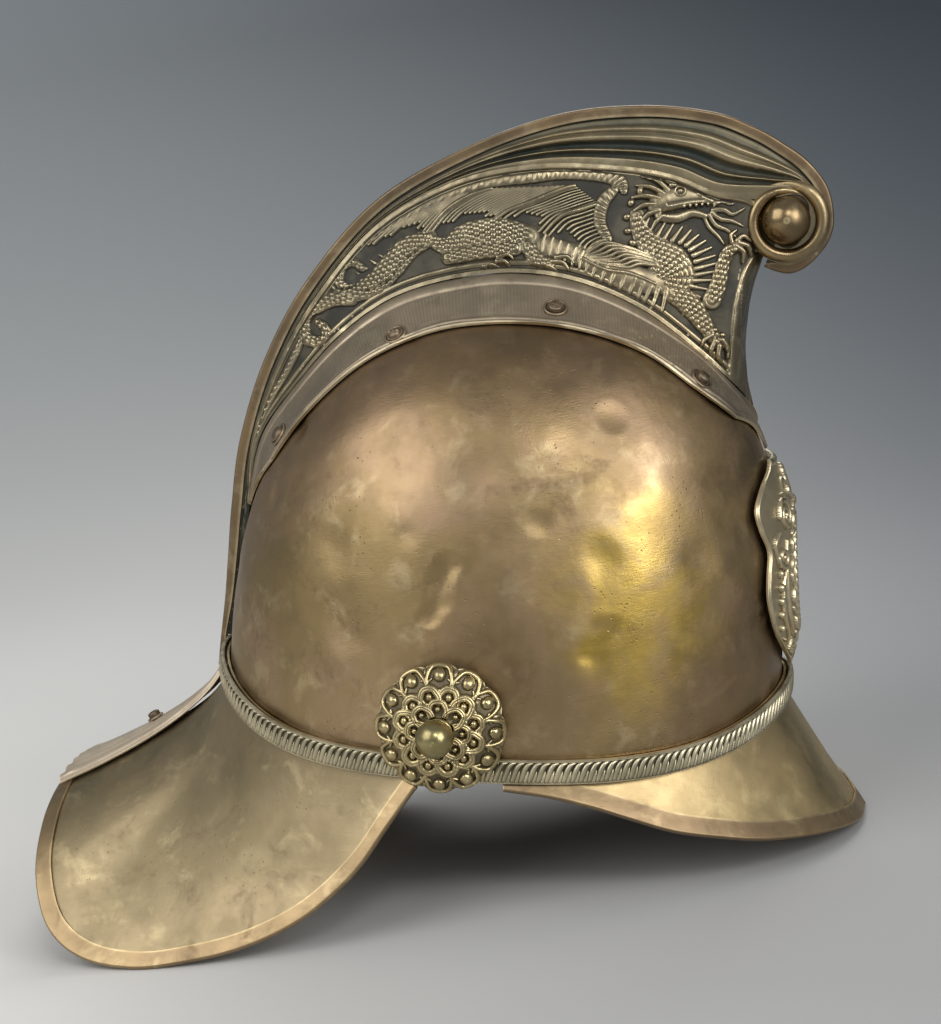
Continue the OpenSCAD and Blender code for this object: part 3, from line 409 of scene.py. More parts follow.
    def turned(self, profile: Array, origin: Array, axis: Array, segments: int = 48,
               relief: Array | float = 0.0) -> None:
        """Adds a shape turned about an axis.

        Args:
            profile: Radius and height pairs, from the far end of the axis inward and back.
            origin: Where height zero is.
            axis: Direction of growing height.
            segments: Corners round the axis.
            relief: Height for each pair, for the finish to read.
        """
        profile, axis = np.asarray(profile, float), unit(np.asarray(axis, float))
        a = unit(np.cross(axis, [0.0, 0.0, 1.0] if abs(axis[2]) < 0.9 else [1.0, 0.0, 0.0]))
        b = np.cross(axis, a)
        t = np.linspace(0, TAU, segments, endpoint=False)
        ring = np.cos(t)[:, None] * a + np.sin(t)[:, None] * b
        g = np.asarray(origin) + profile[:, None, :1] * ring[None] + profile[:, None, 1:] * axis
        height = np.broadcast_to(np.asarray(relief, float).reshape(-1, 1), g.shape[:2])
        self.surface(g, wrap=True, relief=height)

    def mirrored(self, side: Side) -> "Shape":
        """This left-hand shape as it is on a side.

        Args:
            side: The side that it is wanted on.

        Returns:
            The shape, or its mirror image.
        """
        if side is Side.LEFT:
            return self
        flip = np.array([1.0, -1.0, 1.0])
        points, faces = [p * flip for p in self.points], [f[:, ::-1] for f in self.faces]
        return Shape(points, faces, self.relief, self.count)

    def build(self, name: str, material: bpy.types.Material, crease: float = 50.0) -> bpy.types.Object:
        """Makes the Blender object, standing on the floor.

        Args:
            name: The piece's name.
            material: Its finish.
            crease: Angle in degrees above which an edge stays sharp.

        Returns:
            The object, linked to the scene.
        """
        mesh = bpy.data.meshes.new(name)
        points = STANCE.place(np.concatenate(self.points)).astype(np.float32)
        mesh.vertices.add(len(points))
        mesh.vertices.foreach_set("co", points.ravel())
        corners = np.concatenate([f.ravel() for f in self.faces]).astype(np.int32)
        sizes = np.concatenate([np.full(len(f), f.shape[1]) for f in self.faces])
        mesh.loops.add(len(corners))
        mesh.loops.foreach_set("vertex_index", corners)
        mesh.polygons.add(len(sizes))
        mesh.polygons.foreach_set("loop_start", np.concatenate([[0], np.cumsum(sizes)[:-1]]).astype(np.int32))
        mesh.update(calc_edges=True)
        mesh.validate()
        mesh.shade_smooth()
        mesh.set_sharp_from_angle(angle=math.radians(crease))
        layer = mesh.attributes.new("relief", "FLOAT", "POINT")
        layer.data.foreach_set("value", np.concatenate(self.relief).astype(np.float32))
        mesh.materials.append(material)
        piece = bpy.data.objects.new(name, mesh)
        bpy.context.scene.collection.objects.link(piece)
        return piece


@dataclass(frozen=True)
class Fitting:
    """Where a finished piece belongs: its body, its material slot and the plain nodes that it stands for."""

    slot: str
    nodes: tuple[str, ...] = ()
    body: str = "shell"

    def fit(self, piece: bpy.types.Object) -> bpy.types.Object:
        """Hangs the piece on its body and reports it.

        Args:
            piece: The finished object.

        Returns:
            The same object.
        """
        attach(piece, self.body)
        if self.nodes:
            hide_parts(*self.nodes)
        log.info("%s: %d faces on %s, for %s", piece.name, len(piece.data.polygons), self.body,
                 ", ".join(self.nodes) or "no node")
        return piece


# Relief drawn over a surface


class Relief:
    """Heights over a flat drawing, built up from rolls, domes and grooves as an embosser would."""

    def __init__(self, u: Array, v: Array) -> None:
        """Starts flat at the drawing's places u, v.

        Args:
            u: Places across.
            v: Places down.
        """
        self.u, self.v = u.ravel(), v.ravel()
        self.shape = u.shape
        self.h = np.zeros(self.u.shape)

    def near(self, path: Array, reach: float) -> tuple[NDArray[np.int64], Array, Array]:
        """Places close to a path.

        Args:
            path: Points of the path, by two.
            reach: How far from it to look.

        Returns:
            The numbers of the places, their distances, below zero on one side, and their shares of the way.
        """
        low, high = path.min(0) - reach, path.max(0) + reach
        ids = np.nonzero((self.u > low[0]) & (self.u < high[0]) & (self.v > low[1]) & (self.v < high[1]))[0]
        best, share = np.full(len(ids), FAR), np.zeros(len(ids))
        p = np.stack([self.u[ids], self.v[ids]], -1)
        n = len(path) - 1
        for k in range(n):
            a, d = path[k], path[k + 1] - path[k]
            t = np.clip(((p - a) @ d) / max(d @ d, 1e-9), 0, 1)
            off = p - a - t[:, None] * d
            away = np.linalg.norm(off, axis=1)
            closer = away < np.abs(best)
            hand = np.where(d[0] * off[:, 1] - d[1] * off[:, 0] < 0, -1.0, 1.0)
            best[closer], share[closer] = (away * hand)[closer], (k + t[closer]) / n
        return ids, best, share

    def roll(self, knots: Sequence[Sequence[float]], widths: Sequence[float], height: float,
             level: float = 0.0, twist: float = 0.0, count: int = 24) -> None:
        """Raises a rounded roll along a curve.

        Args:
            knots: Points that the curve goes through.
            widths: Half widths, spaced evenly from its start to its end.
            height: Height at its crest, where it is widest.
            level: Height that it lies on.
            twist: Turns of a rope's lay along it, or 0 for a plain roll.
            count: Points that the curve is cut into.
        """
        path = through(knots, count) if len(knots) > 2 else np.asarray(knots, float)
        ids, d, s = self.near(path, max(widths))
        r = np.interp(s, np.linspace(0, 1, len(widths)), widths)
        w = d / r
        body = half_round(w) * (0.35 + 0.65 * r / max(widths))
        lay = 1 - 0.36 * (0.5 + 0.5 * np.sin(TAU * twist * s + 1.6 * w)) if twist else 1.0
        self.h[ids] = np.maximum(self.h[ids], np.where(np.abs(w) < 1, level + height * body * lay, -FAR))

    def limb(self, knots: Sequence[Sequence[float]], height: float, level: float, twist: float = 0.0) -> None:
        """Raises a roll through knots that hold their own half widths."""
        self.roll([k[:2] for k in knots], [k[2] for k in knots], height, level, twist, 8 * len(knots))

    def scales(self, knots: Sequence[Sequence[float]], height: float, level: float,
               size: float = 5.4) -> None:
        """Raises a scaled limb.

        Args:
            knots: Points along its middle, each with its half width.
            height: Height at its crest, where it is widest.
            level: Height that it lies on.
            size: Length of one scale.
        """
        path, widths = through([k[:2] for k in knots], 8 * len(knots)), [k[2] for k in knots]
        ids, d, s = self.near(path, max(widths))
        r = np.interp(s, np.linspace(0, 1, len(widths)), widths)
        run = np.concatenate([[0.0], np.cumsum(np.linalg.norm(np.diff(path, axis=0), axis=1))])
        w, a = d / r, np.interp(s, np.linspace(0, 1, len(path)), run) / size
        row = np.floor(a)
        across = d / size + 0.5 * (row % 2)
        f, g = a - row - 0.5, across - np.floor(across) - 0.5
        scale = 0.62 * np.sqrt(np.clip(1 - (3.2 * (f + 0.06) ** 2 + 3.9 * g**2), 0, 1)) * (1 - 0.5 * w**2)
        body = level + height * half_round(w) * (0.45 + 0.55 * r / max(widths))
        self.h[ids] = np.maximum(self.h[ids], np.where(np.abs(w) < 1, body - 0.3 + scale, -FAR))

    def dome(self, centre: Sequence[float], rx: float, ry: float, height: float, tilt: float = 0.0,
             level: float = 0.0) -> None:
        """Raises an oval dome, tilted by tilt degrees.

        Args:
            centre: Its middle.
            rx: Half its length.
            ry: Half its width.
            height: Height at its top.
            tilt: Turn of its length, in degrees.
            level: Height that it lies on.
        """
        c, s = math.cos(math.radians(tilt)), math.sin(math.radians(tilt))
        x, y = self.u - centre[0], self.v - centre[1]
        k = ((x * c + y * s) / rx) ** 2 + ((y * c - x * s) / ry) ** 2
        raised = np.where(k < 1, level + height * np.sqrt(np.clip(1 - k, 0, 1)), -FAR)
        self.h = np.maximum(self.h, raised)

    def groove(self, knots: Sequence[Sequence[float]], width: float, depth: float) -> None:
        """Cuts a soft groove along a curve.

        Args:
            knots: Points that the curve goes through.
            width: Half its width.
            depth: Depth at its middle.
        """
        path = through(knots, 14) if len(knots) > 2 else np.asarray(knots, float)
        ids, d, _ = self.near(path, 2.5 * width)
        self.h[ids] -= depth * np.exp(-((d / width) ** 2))

    def heights(self) -> Array:
        """The heights, in the drawing's own shape."""
        return self.h.reshape(self.shape)


@dataclass(frozen=True)
class SideDrawing:
    """The flat drawing that the comb's figure is laid out on, seen from beside the helmet."""

    distance: float = 800.0
    turn: float = 7.0
    rise: float = 8.0
    roll: float = 0.7
    scale: float = 2.4
    target: tuple[float, float, float] = (-15.6, 0.0, 70.0)
    width: float = 941.0
    height: float = 1024.0

    def axes(self) -> tuple[Array, Array, Array, Array]:
        """Eye, and the directions right, up and ahead, in the worn frame.

        Returns:
            The eye's place and the three directions.
        """
        a, e, r = (math.radians(v) for v in (self.turn, self.rise, self.roll))
        back = np.array([math.sin(a) * math.cos(e), -math.cos(a) * math.cos(e), math.sin(e)])
        right = unit(np.cross(-back, [0.0, 0.0, 1.0]))
        up = np.cross(right, -back)
        return (np.asarray(self.target) + self.distance * back, right * math.cos(r) + up * math.sin(r),
                up * math.cos(r) - right * math.sin(r), -back)

    def project(self, p: Array) -> tuple[Array, Array]:
        """Places on the drawing, across and down, of points on the wearer's right.

        Args:
            p: Points of the worn frame.

        Returns:
            Places across and down.
        """
        eye, right, up, ahead = self.axes()
        q = p - eye
        k = self.scale * self.distance / (q @ ahead)
        return self.width / 2 + k * (q @ right), self.height / 2 - k * (q @ up)


DRAWING = SideDrawing()


# Finishes


@dataclass(frozen=True)
class Tone:
    """A number that a finish's nodes carry over the surface."""

    bench: "Bench"
    socket: bpy.types.NodeSocket

    def __add__(self, other: "Tone | float") -> "Tone":
        """Sum."""
        return self.bench.math("ADD", self, other)

    __radd__ = __add__

    def __mul__(self, other: "Tone | float") -> "Tone":
        """Product."""
        return self.bench.math("MULTIPLY", self, other)

    __rmul__ = __mul__

    def __sub__(self, other: "Tone | float") -> "Tone":
        """Difference."""
        return self.bench.math("SUBTRACT", self, other)

    def __rsub__(self, other: float) -> "Tone":
        """Difference from a plain number."""
        return self.bench.math("SUBTRACT", other, self)

    def __pow__(self, other: float) -> "Tone":
        """Power."""
        return self.bench.math("POWER", self, other)

    def over(self, low: float, high: float) -> "Tone":
        """Smooth rise from 0 at low to 1 at high.

        Args:
            low: Where the rise starts.
            high: Where it ends.

        Returns:
            The rise, as a tone.
        """
        node = self.bench.node("ShaderNodeMapRange", {"interpolation_type": "SMOOTHSTEP"},
                               {"Value": self, "From Min": low, "From Max": high})
        return Tone(self.bench, node.outputs["Result"])


Plug = Tone | bpy.types.NodeSocket | float | Sequence[float]


class Bench:
    """Where one finish's nodes are laid out."""

    def __init__(self, name: str) -> None:
        """Clears a new material of that name.

        Args:
            name: The material's name.
        """
        self.material = bpy.data.materials.new(name)
        self.material.use_nodes = True
        self.tree = self.material.node_tree
        self.tree.nodes.clear()

    def node(self, kind: str, settings: dict[str, object] | None = None,
             inputs: dict[str | int, Plug] | None = None) -> bpy.types.Node:
        """Adds a node.

        Args:
            kind: The node's type.
            settings: Its own settings, set before its sockets. "stops" is a ramp's list of place and colour.
            inputs: Values or links for its sockets, by name or number.

        Returns:
            The node.
        """
        made = self.tree.nodes.new(kind)
        for key, value in (settings or {}).items():
            if key == "stops":
                ramp = made.color_ramp
                while len(ramp.elements) < len(value):
                    ramp.elements.new(0.5)
                for stop, (place, colour) in zip(ramp.elements, value):
                    stop.position, stop.color = place, (*colour, 1.0)
            else:
                setattr(made, key, value)
        for key, value in (inputs or {}).items():
            if isinstance(value, Tone):
                value = value.socket
            if isinstance(value, bpy.types.NodeSocket):
                self.tree.links.new(value, made.inputs[key])
            elif isinstance(value, tuple) and len(value) == 3 and made.inputs[key].type == "RGBA":
                made.inputs[key].default_value = (*value, 1.0)
            else:
                made.inputs[key].default_value = value
        return made

    def math(self, operation: str, a: Tone | float, b: Tone | float) -> Tone:
        """A Math node on two numbers."""
        return Tone(self, self.node("ShaderNodeMath", {"operation": operation}, {0: a, 1: b}).outputs[0])

    def place(self, stretch: Colour = (1.0, 1.0, 1.0)) -> bpy.types.NodeSocket:
        """The surface's own coordinates in metres, stretched.

        Args:
            stretch: Factor along each axis.

        Returns:
            The socket.
        """
        where = self.node("ShaderNodeTexCoord").outputs["Object"]
        if stretch == (1.0, 1.0, 1.0):
            return where
        return self.node("ShaderNodeVectorMath", {"operation": "MULTIPLY"}, {0: where, 1: stretch}).outputs[0]

    def along(self, axis: str) -> Tone:
        """The surface's own X, Y or Z in metres."""
        return Tone(self, self.node("ShaderNodeSeparateXYZ", None, {0: self.place()}).outputs[axis])

    def noise(self, scale: float, detail: float = 5.0, roughness: float = 0.55, distortion: float = 0.0,
              stretch: Colour = (1.0, 1.0, 1.0)) -> Tone:
        """Cloudy variation from about 0.3 to 0.7, in waves of 1/scale metres.

        Args:
            scale: Waves in a metre.
            detail: Finer layers added.
            roughness: Share of the finer layers.
            distortion: How far the waves are bent.
            stretch: Factor along each axis.

        Returns:
            The variation.
        """
        node = self.node("ShaderNodeTexNoise", None, {
            "Vector": self.place(stretch), "Scale": scale, "Detail": detail, "Roughness": roughness,
            "Distortion": distortion})
        return Tone(self, node.outputs[0])

    def cells(self, scale: float, feature: str = "F1", randomness: float = 1.0) -> Tone:
        """Distance to scattered seeds, in cells of 1/scale metres.

        Args:
            scale: Cells in a metre.
            feature: What is measured.
            randomness: How scattered the seeds are.

        Returns:
            The distance.
        """
        node = self.node("ShaderNodeTexVoronoi", {"feature": feature},
                         {"Vector": self.place(), "Scale": scale, "Randomness": randomness})
        return Tone(self, node.outputs["Distance"])

    def near(self, place: Colour, reach: float) -> Tone:
        """1 at a place in metres, falling to 0 at reach from it."""
        node = self.node("ShaderNodeVectorMath", {"operation": "DISTANCE"}, {0: self.place(), 1: place})
        return 1 - Tone(self, node.outputs["Value"]).over(0.0, reach)

    def relief(self) -> Tone:
        """The relief height kept in the mesh."""
        node = self.node("ShaderNodeAttribute", {"attribute_name": "relief"})
        return Tone(self, node.outputs["Fac"])

    def ridge(self) -> Tone:
        """How far the surface stands out from its surroundings, 0.5 where it is flat."""
        return Tone(self, self.node("ShaderNodeNewGeometry").outputs["Pointiness"])

    def blend(self, a: Plug, b: Plug, share: Tone | float, kind: str = "MIX") -> bpy.types.NodeSocket:
        """Colour a turning to b, or laid over it in another blend kind.

        Args:
            a: First colour.
            b: Second colour.
            share: Share of the second.
            kind: Blend kind.

        Returns:
            The mixed colour.
        """
        node = self.node("ShaderNodeMix", {"data_type": "RGBA", "blend_type": kind},
                         {"Factor": share, 6: a, 7: b})
        return node.outputs[2]

    def bump(self, height: Tone, depth: float,
             under: bpy.types.NodeSocket | None = None) -> bpy.types.NodeSocket:
        """A surface normal from a height, whose full range is depth metres deep.

        Args:
            height: Height over the surface.
            depth: Depth in metres.
            under: A normal to build on.

        Returns:
            The normal.
        """
        inputs: dict[str | int, Plug] = {"Height": height, "Distance": depth, "Strength": 1.0}
        if under is not None:
            inputs["Normal"] = under
        return self.node("ShaderNodeBump", None, inputs).outputs[0]

    def finish(self, sockets: dict[str | int, Plug]) -> bpy.types.Material:
        """Joins the sockets to a Principled surface and returns the material.

        Args:
            sockets: Values or links of the surface's sockets.

        Returns:
            The material.
        """
        surface = self.node("ShaderNodeBsdfPrincipled", None, sockets)
        self.node("ShaderNodeOutputMaterial", None, {"Surface": surface.outputs[0]})
        return self.material


def srgb(r: float, g: float, b: float) -> Colour:
    """A colour read off a swatch, 0 to 255, as the renderer takes it."""
    return tuple((c / 255 / 12.92) if c / 255 <= 0.04045 else ((c / 255 + 0.055) / 1.055) ** 2.4
                 for c in (r, g, b))


@dataclass(frozen=True)
class AgedBrass:
    """Old brass: worn metal, darker drift, tarnish in the hollows, pits and fine polishing lines.

    Two lists hold places of the worn frame, each with its reach and strength. The first gives gold, smoother
    patches, which are painted highlights and reflections as well as worn spots. The second gives dark tarnish
    patches, which are stains as well as painted shade.
    """

    name: str
    worn: Colour
    drift: Colour
    tarnish: Colour
    bright: Colour
    rough: tuple[float, float] = (0.3, 0.5)
    hollow: float = 0.0
    relief_low: float = 0.0
    relief_high: float = 1.0
    ridge_gain: float = 0.6
    pits: float = 0.35
    lines: float = 0.5
    patches: float = 0.5
    metal: float = 1.0
    bump_mm: float = 0.12
    hollow_rough: float = 0.22
    top_darkening: float = 0.0
    streaks: float = 0.0
    gold: Colour = srgb(190, 160, 72)
    bright_patches: tuple[tuple[float, float, float, float, float], ...] = ()
    stain_and_shade_spots: tuple[tuple[float, float, float, float, float], ...] = ()

    def make(self) -> bpy.types.Material:
        """Builds the material.

        Returns:
            The material.
        """
        b = Bench(self.name)
        cloud = b.noise(14.0, 6.0, 0.6, 0.6)
        mottle = b.noise(70.0, 6.0, 0.62, 0.4)
        grain = b.noise(420.0, 4.0, 0.6)
        colour = b.blend(self.worn, self.drift, cloud.over(0.38, 0.64))
        colour = b.blend(colour, self.bright, mottle.over(0.52, 0.72) * 0.45)
        stain = b.noise(32.0, 8.0, 0.68, 1.2).over(0.52, 0.66) * self.patches
        colour = b.blend(colour, self.tarnish, stain * (0.4 + 0.6 * grain.over(0.35, 0.65)))
        if self.streaks:
            run = b.noise(95.0, 5.0, 0.6, 0.0, (1.0, 1.0, 0.1)).over(0.5, 0.72)
            colour = b.blend(colour, self.drift, run * self.streaks)
            warm = b.noise(9.0, 3.0, 0.5, 0.4).over(0.46, 0.62) * self.streaks
            colour = b.blend(colour, tuple(0.4 * d + 0.6 * w for d, w in zip(self.tarnish, self.worn)), warm)
        # Darker towards the top of the helmet.
        if self.top_darkening:
            colour = b.blend(colour, self.tarnish, b.along("Z").over(0.12, 0.235) * self.top_darkening)
        # Gold, smoother patches are painted highlights and reflections as well as worn spots; dark patches are
        # stains as well as painted shade.
        highlight_and_wear_mask: Tone | float = 0.0
        patchy = b.noise(48.0, 5.0, 0.6, 0.8).over(0.36, 0.6)
        for places, tint in ((self.bright_patches, self.gold), (self.stain_and_shade_spots, self.tarnish)):
            for x, y, z, reach, share in places:
                where = tuple(STANCE.place(np.array([x, y, z], float)).tolist())
                spot = b.near(where, reach / 1000) * share * (0.35 + 0.65 * patchy)
                colour = b.blend(colour, tint, spot)
                highlight_and_wear_mask = spot + highlight_and_wear_mask if tint is self.gold else highlight_and_wear_mask
        spots = (1 - b.cells(430.0).over(0.04, 0.18)) * b.noise(40.0, 3.0).over(0.5, 0.62) * self.pits
        colour = b.blend(colour, self.tarnish, spots)
        low = (1 - b.relief().over(self.relief_low, self.relief_high)) * self.hollow
        dip = (1 - b.ridge().over(0.42, 0.5)) * self.ridge_gain
        hollow = 1 - (1 - low) * (1 - dip)
        colour = b.blend(colour, self.tarnish, hollow * (0.78 + 0.22 * mottle.over(0.35, 0.6)))
        edge = b.ridge().over(0.51, 0.57) * (0.45 + 0.55 * mottle.over(0.4, 0.6)) * self.ridge_gain
        colour = b.blend(colour, self.bright, edge)
        lo, hi = self.rough
        wear = b.noise(55.0, 5.0, 0.6).over(0.3, 0.7)
        rough = lo + (hi - lo) * wear + self.hollow_rough * hollow + 0.12 * stain
        rough = rough - 0.1 * highlight_and_wear_mask if self.bright_patches else rough
        brushed = b.noise(260.0, 3.0, 0.5, 0.0, (1.0, 1.0, 9.0)) * self.lines
        height = grain * 0.35 + mottle * 0.5 + brushed * 0.3 - spots * 0.8
        return b.finish({
            "Base Color": colour, "Roughness": rough, "Metallic": self.metal - 0.45 * hollow - 0.3 * stain,
            "Normal": b.bump(height, self.bump_mm / 1000)})


@dataclass(frozen=True)
class Leather:
    """Old vegetable-tanned leather: grain cells, paler worn patches and dark creases."""

    name: str
    body: Colour
    dark: Colour
    bright_patches: Colour

    def make(self) -> bpy.types.Material:
        """Builds the material.

        Returns:
            The material.
        """
        b = Bench(self.name)
        cloud, fine = b.noise(22.0, 6.0, 0.6, 0.8), b.noise(240.0, 5.0, 0.6)
        cells = b.cells(520.0, "DISTANCE_TO_EDGE")
        colour = b.blend(self.body, self.dark, cloud.over(0.4, 0.62))
        colour = b.blend(colour, self.bright_patches, b.noise(60.0, 5.0).over(0.52, 0.7) * 0.5)
        colour = b.blend(colour, self.dark, (1 - cells.over(0.0, 0.12)) * 0.6)
        rough = 0.5 + 0.25 * fine.over(0.3, 0.7)
        return b.finish({"Base Color": colour, "Roughness": rough,
                         "Normal": b.bump(cells.over(0.0, 0.25) + fine * 0.4, 0.00022)})


@dataclass(frozen=True)
class Cork:
    """Cork: pale granules with dark lenticels between them."""

    name: str
    body: Colour
    dark: Colour

    def make(self) -> bpy.types.Material:
        """Builds the material.

        Returns:
            The material.
        """
        b = Bench(self.name)
        granule, speck = b.cells(330.0), b.noise(900.0, 4.0, 0.7)
        colour = b.blend(self.body, self.dark, granule.over(0.3, 0.7) * 0.55)
        colour = b.blend(colour, self.dark, speck.over(0.58, 0.7) * 0.7)
        return b.finish({"Base Color": colour, "Roughness": 0.85, "Normal": b.bump(granule + speck, 0.0004)})


@dataclass(frozen=True)
class CottonCord:
    """Laid cotton cord: fine fibres along it and grey soiling."""

    name: str
    body: Colour
    soil: Colour

    def make(self) -> bpy.types.Material:
        """Builds the material.

        Returns:
            The material.
        """
        b = Bench(self.name)
        fibre = b.noise(1500.0, 3.0, 0.6, 0.0, (1.0, 1.0, 0.35))
        colour = b.blend(self.body, self.soil, b.noise(90.0, 5.0).over(0.42, 0.65) * 0.7)
        colour = b.blend(colour, self.soil, fibre.over(0.45, 0.7) * 0.5)
        return b.finish({"Base Color": colour, "Roughness": 0.9, "Normal": b.bump(fibre, 0.00025)})


@dataclass(frozen=True)
class StudioPaint:
    """Matt paint of the floor and backdrop with painted shade: pale in front, darker and greyer to one side,
    and darker and bluer up the backdrop.
    """

    name: str
    near: tuple[Colour, Colour]
    far: tuple[Colour, Colour]
    high: tuple[Colour, Colour]

    def make(self) -> bpy.types.Material:
        """Builds the material.

        Returns:
            The material.
        """
        b = Bench(self.name)
        # Painted shade: darker towards the right, further back and up the backdrop.
        near = b.blend(*self.near, b.along("X").over(-0.5, 0.5))
        wide = b.along("X").over(-1.9, 0.75)
        colour = b.blend(near, b.blend(*self.far, wide), b.along("Y").over(-0.6, 2.6))
        colour = b.blend(colour, b.blend(*self.high, wide), b.along("Z").over(-0.1, 1.5))
        tooth = b.bump(b.noise(900.0, 2.0), 0.00004)
        return b.finish({"Base Color": colour, "Roughness": 0.8, "Normal": tooth})


# Gold places on the wearer's right are painted highlights and reflections; those on the left and at the back
# are worn patches. Dark places on the right are partly painted shade and partly stains; the one on the left is
# a stain.
SKULL_BRASS = AgedBrass("skull_brass", srgb(164, 139, 109), srgb(150, 129, 90), srgb(92, 70, 53),
                        srgb(206, 186, 146), rough=(0.34, 0.5), patches=0.5, pits=0.8, lines=0.8, top_darkening=0.45,
                        streaks=0.55, bump_mm=0.16, bright_patches=(
                            (52, -84, 56, 48, 0.75), (46, -88, 68, 16, 0.7), (44.5, -90.4, 42, 15, 0.9),
                            (41.5, -91.6, 30, 13, 0.8), (62, -78, 84, 18, 0.3), (72, -70, 44, 34, 0.6),
                            (58, -84, 24, 30, 0.6), (70, 74, 60, 40, 0.6), (-50, 84, 60, 34, 0.4),
                            (-105, 20, 60, 34, 0.4)),
                        stain_and_shade_spots=((8, -92, 26, 24, 0.6), (98, -42, 34, 34, 0.5), (84, -60, 90, 26, 0.3),
                                 (20, 92, 30, 26, 0.5)))
# The front peak's brass, and a darker copy of it for the rear peak. The copy's darkness is painted shade, and
# it also carries more tarnish patches and streaks.
PEAK_BRASS = AgedBrass("peak_brass", srgb(196, 174, 126), srgb(180, 158, 116), srgb(122, 98, 68),
                       srgb(230, 208, 154), rough=(0.34, 0.5), patches=0.3, pits=0.4)
REAR_PEAK_SHADED_BRASS = AgedBrass("rear_peak_shaded_brass", srgb(158, 141, 110), srgb(142, 128, 98), srgb(106, 86, 62),
                            srgb(206, 188, 146), rough=(0.38, 0.52), patches=0.45, pits=0.6, streaks=0.3)
BINDING_BRASS = AgedBrass("binding_brass", srgb(158, 136, 102), srgb(138, 117, 90), srgb(84, 66, 46),
                          srgb(206, 184, 140), rough=(0.34, 0.48), patches=0.4, ridge_gain=0.8)
COMB_BRASS = AgedBrass("comb_brass", srgb(150, 136, 108), srgb(126, 117, 96), srgb(56, 54, 47),
                       srgb(214, 200, 164), rough=(0.22, 0.4), hollow=1.0, relief_low=0.0, relief_high=1.7,
                       ridge_gain=1.0, patches=0.45, hollow_rough=0.3)
RIB_BRASS = AgedBrass("rib_brass", srgb(148, 134, 106), srgb(122, 114, 94), srgb(50, 56, 51),
                      srgb(202, 188, 154), rough=(0.3, 0.48), hollow=1.0, relief_low=-0.35, relief_high=0.8,
                      ridge_gain=1.0, patches=0.4)
CREST_BRASS = AgedBrass("crest_brass", srgb(132, 111, 84), srgb(110, 96, 76), srgb(54, 48, 38),
                        srgb(176, 158, 126), rough=(0.32, 0.5), ridge_gain=0.8, patches=0.5)
FLANGE_BRASS = AgedBrass("flange_brass", srgb(176, 160, 137), srgb(156, 142, 121), srgb(72, 63, 53),
                         srgb(204, 190, 158), rough=(0.36, 0.54), hollow=0.6, ridge_gain=0.9, patches=0.45)
ORNAMENT_BRASS = AgedBrass("ornament_brass", srgb(188, 171, 128), srgb(162, 147, 110), srgb(64, 55, 44),
                           srgb(230, 214, 160), rough=(0.2, 0.36), hollow=0.95, relief_low=-0.25,
                           relief_high=0.75, ridge_gain=1.0, patches=0.25)
PLATE_BRASS = AgedBrass("plate_brass", srgb(220, 205, 168), srgb(194, 179, 144), srgb(76, 66, 52),
                        srgb(232, 218, 180), rough=(0.24, 0.4), hollow=0.85, relief_low=-0.6, relief_high=0.7,
                        ridge_gain=1.0, patches=0.3)
TONGUE_BRASS = AgedBrass("tongue_brass", srgb(216, 199, 174), srgb(194, 177, 153), srgb(98, 86, 72),
                         srgb(228, 212, 182), rough=(0.36, 0.52), hollow=0.3, relief_low=-0.1,
                         relief_high=0.7, ridge_gain=0.9, patches=0.3, metal=0.72)
BAND_BRASS = AgedBrass("band_brass", srgb(158, 148, 121), srgb(140, 131, 106), srgb(42, 37, 30),
                       srgb(214, 204, 174), rough=(0.28, 0.44), hollow=0.95, relief_low=0.1, relief_high=0.8,
                       ridge_gain=0.7, patches=0.3)
BALL_BRASS = AgedBrass("ball_brass", srgb(170, 156, 108), srgb(144, 134, 96), srgb(78, 66, 44),
                       srgb(222, 206, 150), rough=(0.2, 0.34), ridge_gain=0.4, patches=0.25, pits=0.25)
SCROLL_BRASS = AgedBrass("scroll_brass", srgb(140, 120, 88), srgb(116, 100, 75), srgb(56, 48, 38),
                         srgb(222, 202, 156), rough=(0.22, 0.4), hollow=0.8, relief_low=-0.3, relief_high=0.5,
                         ridge_gain=0.9, patches=0.4)
FITTING_BRASS = AgedBrass("fitting_brass", srgb(160, 138, 98), srgb(136, 116, 82), srgb(70, 54, 38),
                          srgb(214, 192, 142), rough=(0.3, 0.46), ridge_gain=0.5, patches=0.4)
IRON_BRONZE = AgedBrass("iron_bronze", srgb(124, 107, 87), srgb(102, 88, 71), srgb(54, 45, 36),
                        srgb(176, 158, 130), rough=(0.34, 0.5), hollow=0.4, ridge_gain=0.7, patches=0.5)
LINING_LEATHER = Leather("lining_leather", srgb(112, 72, 44), srgb(62, 38, 24), srgb(156, 110, 70))
SPACER_CORK = Cork("spacer_cork", srgb(188, 148, 102), srgb(104, 72, 46))
LACE_COTTON = CottonCord("lace_cotton", srgb(206, 192, 160), srgb(132, 116, 90))
# Floor and backdrop colours, each pair from the left side to the right. The darker right side and the darker
# far and upper colours are painted shade.
FLOOR_PAINT = StudioPaint("floor_paint", (srgb(246, 243, 237), srgb(132, 134, 137)),
                          (srgb(192, 194, 192), srgb(64, 71, 78)), (srgb(168, 174, 180), srgb(52, 62, 73)))


class Finishes:
    """Each finish, made once."""

    def __init__(self) -> None:
        """Starts with none made."""
        self.made: dict[str, bpy.types.Material] = {}

    def of(self, finish: AgedBrass | Leather | Cork | CottonCord | StudioPaint) -> bpy.types.Material:
        """The material of a finish.

        Args:
            finish: The finish's sizes and colours.

        Returns:
            The material.
        """
        if finish.name not in self.made:
            self.made[finish.name] = finish.make()
        return self.made[finish.name]


FINISHES = Finishes()


# Skull


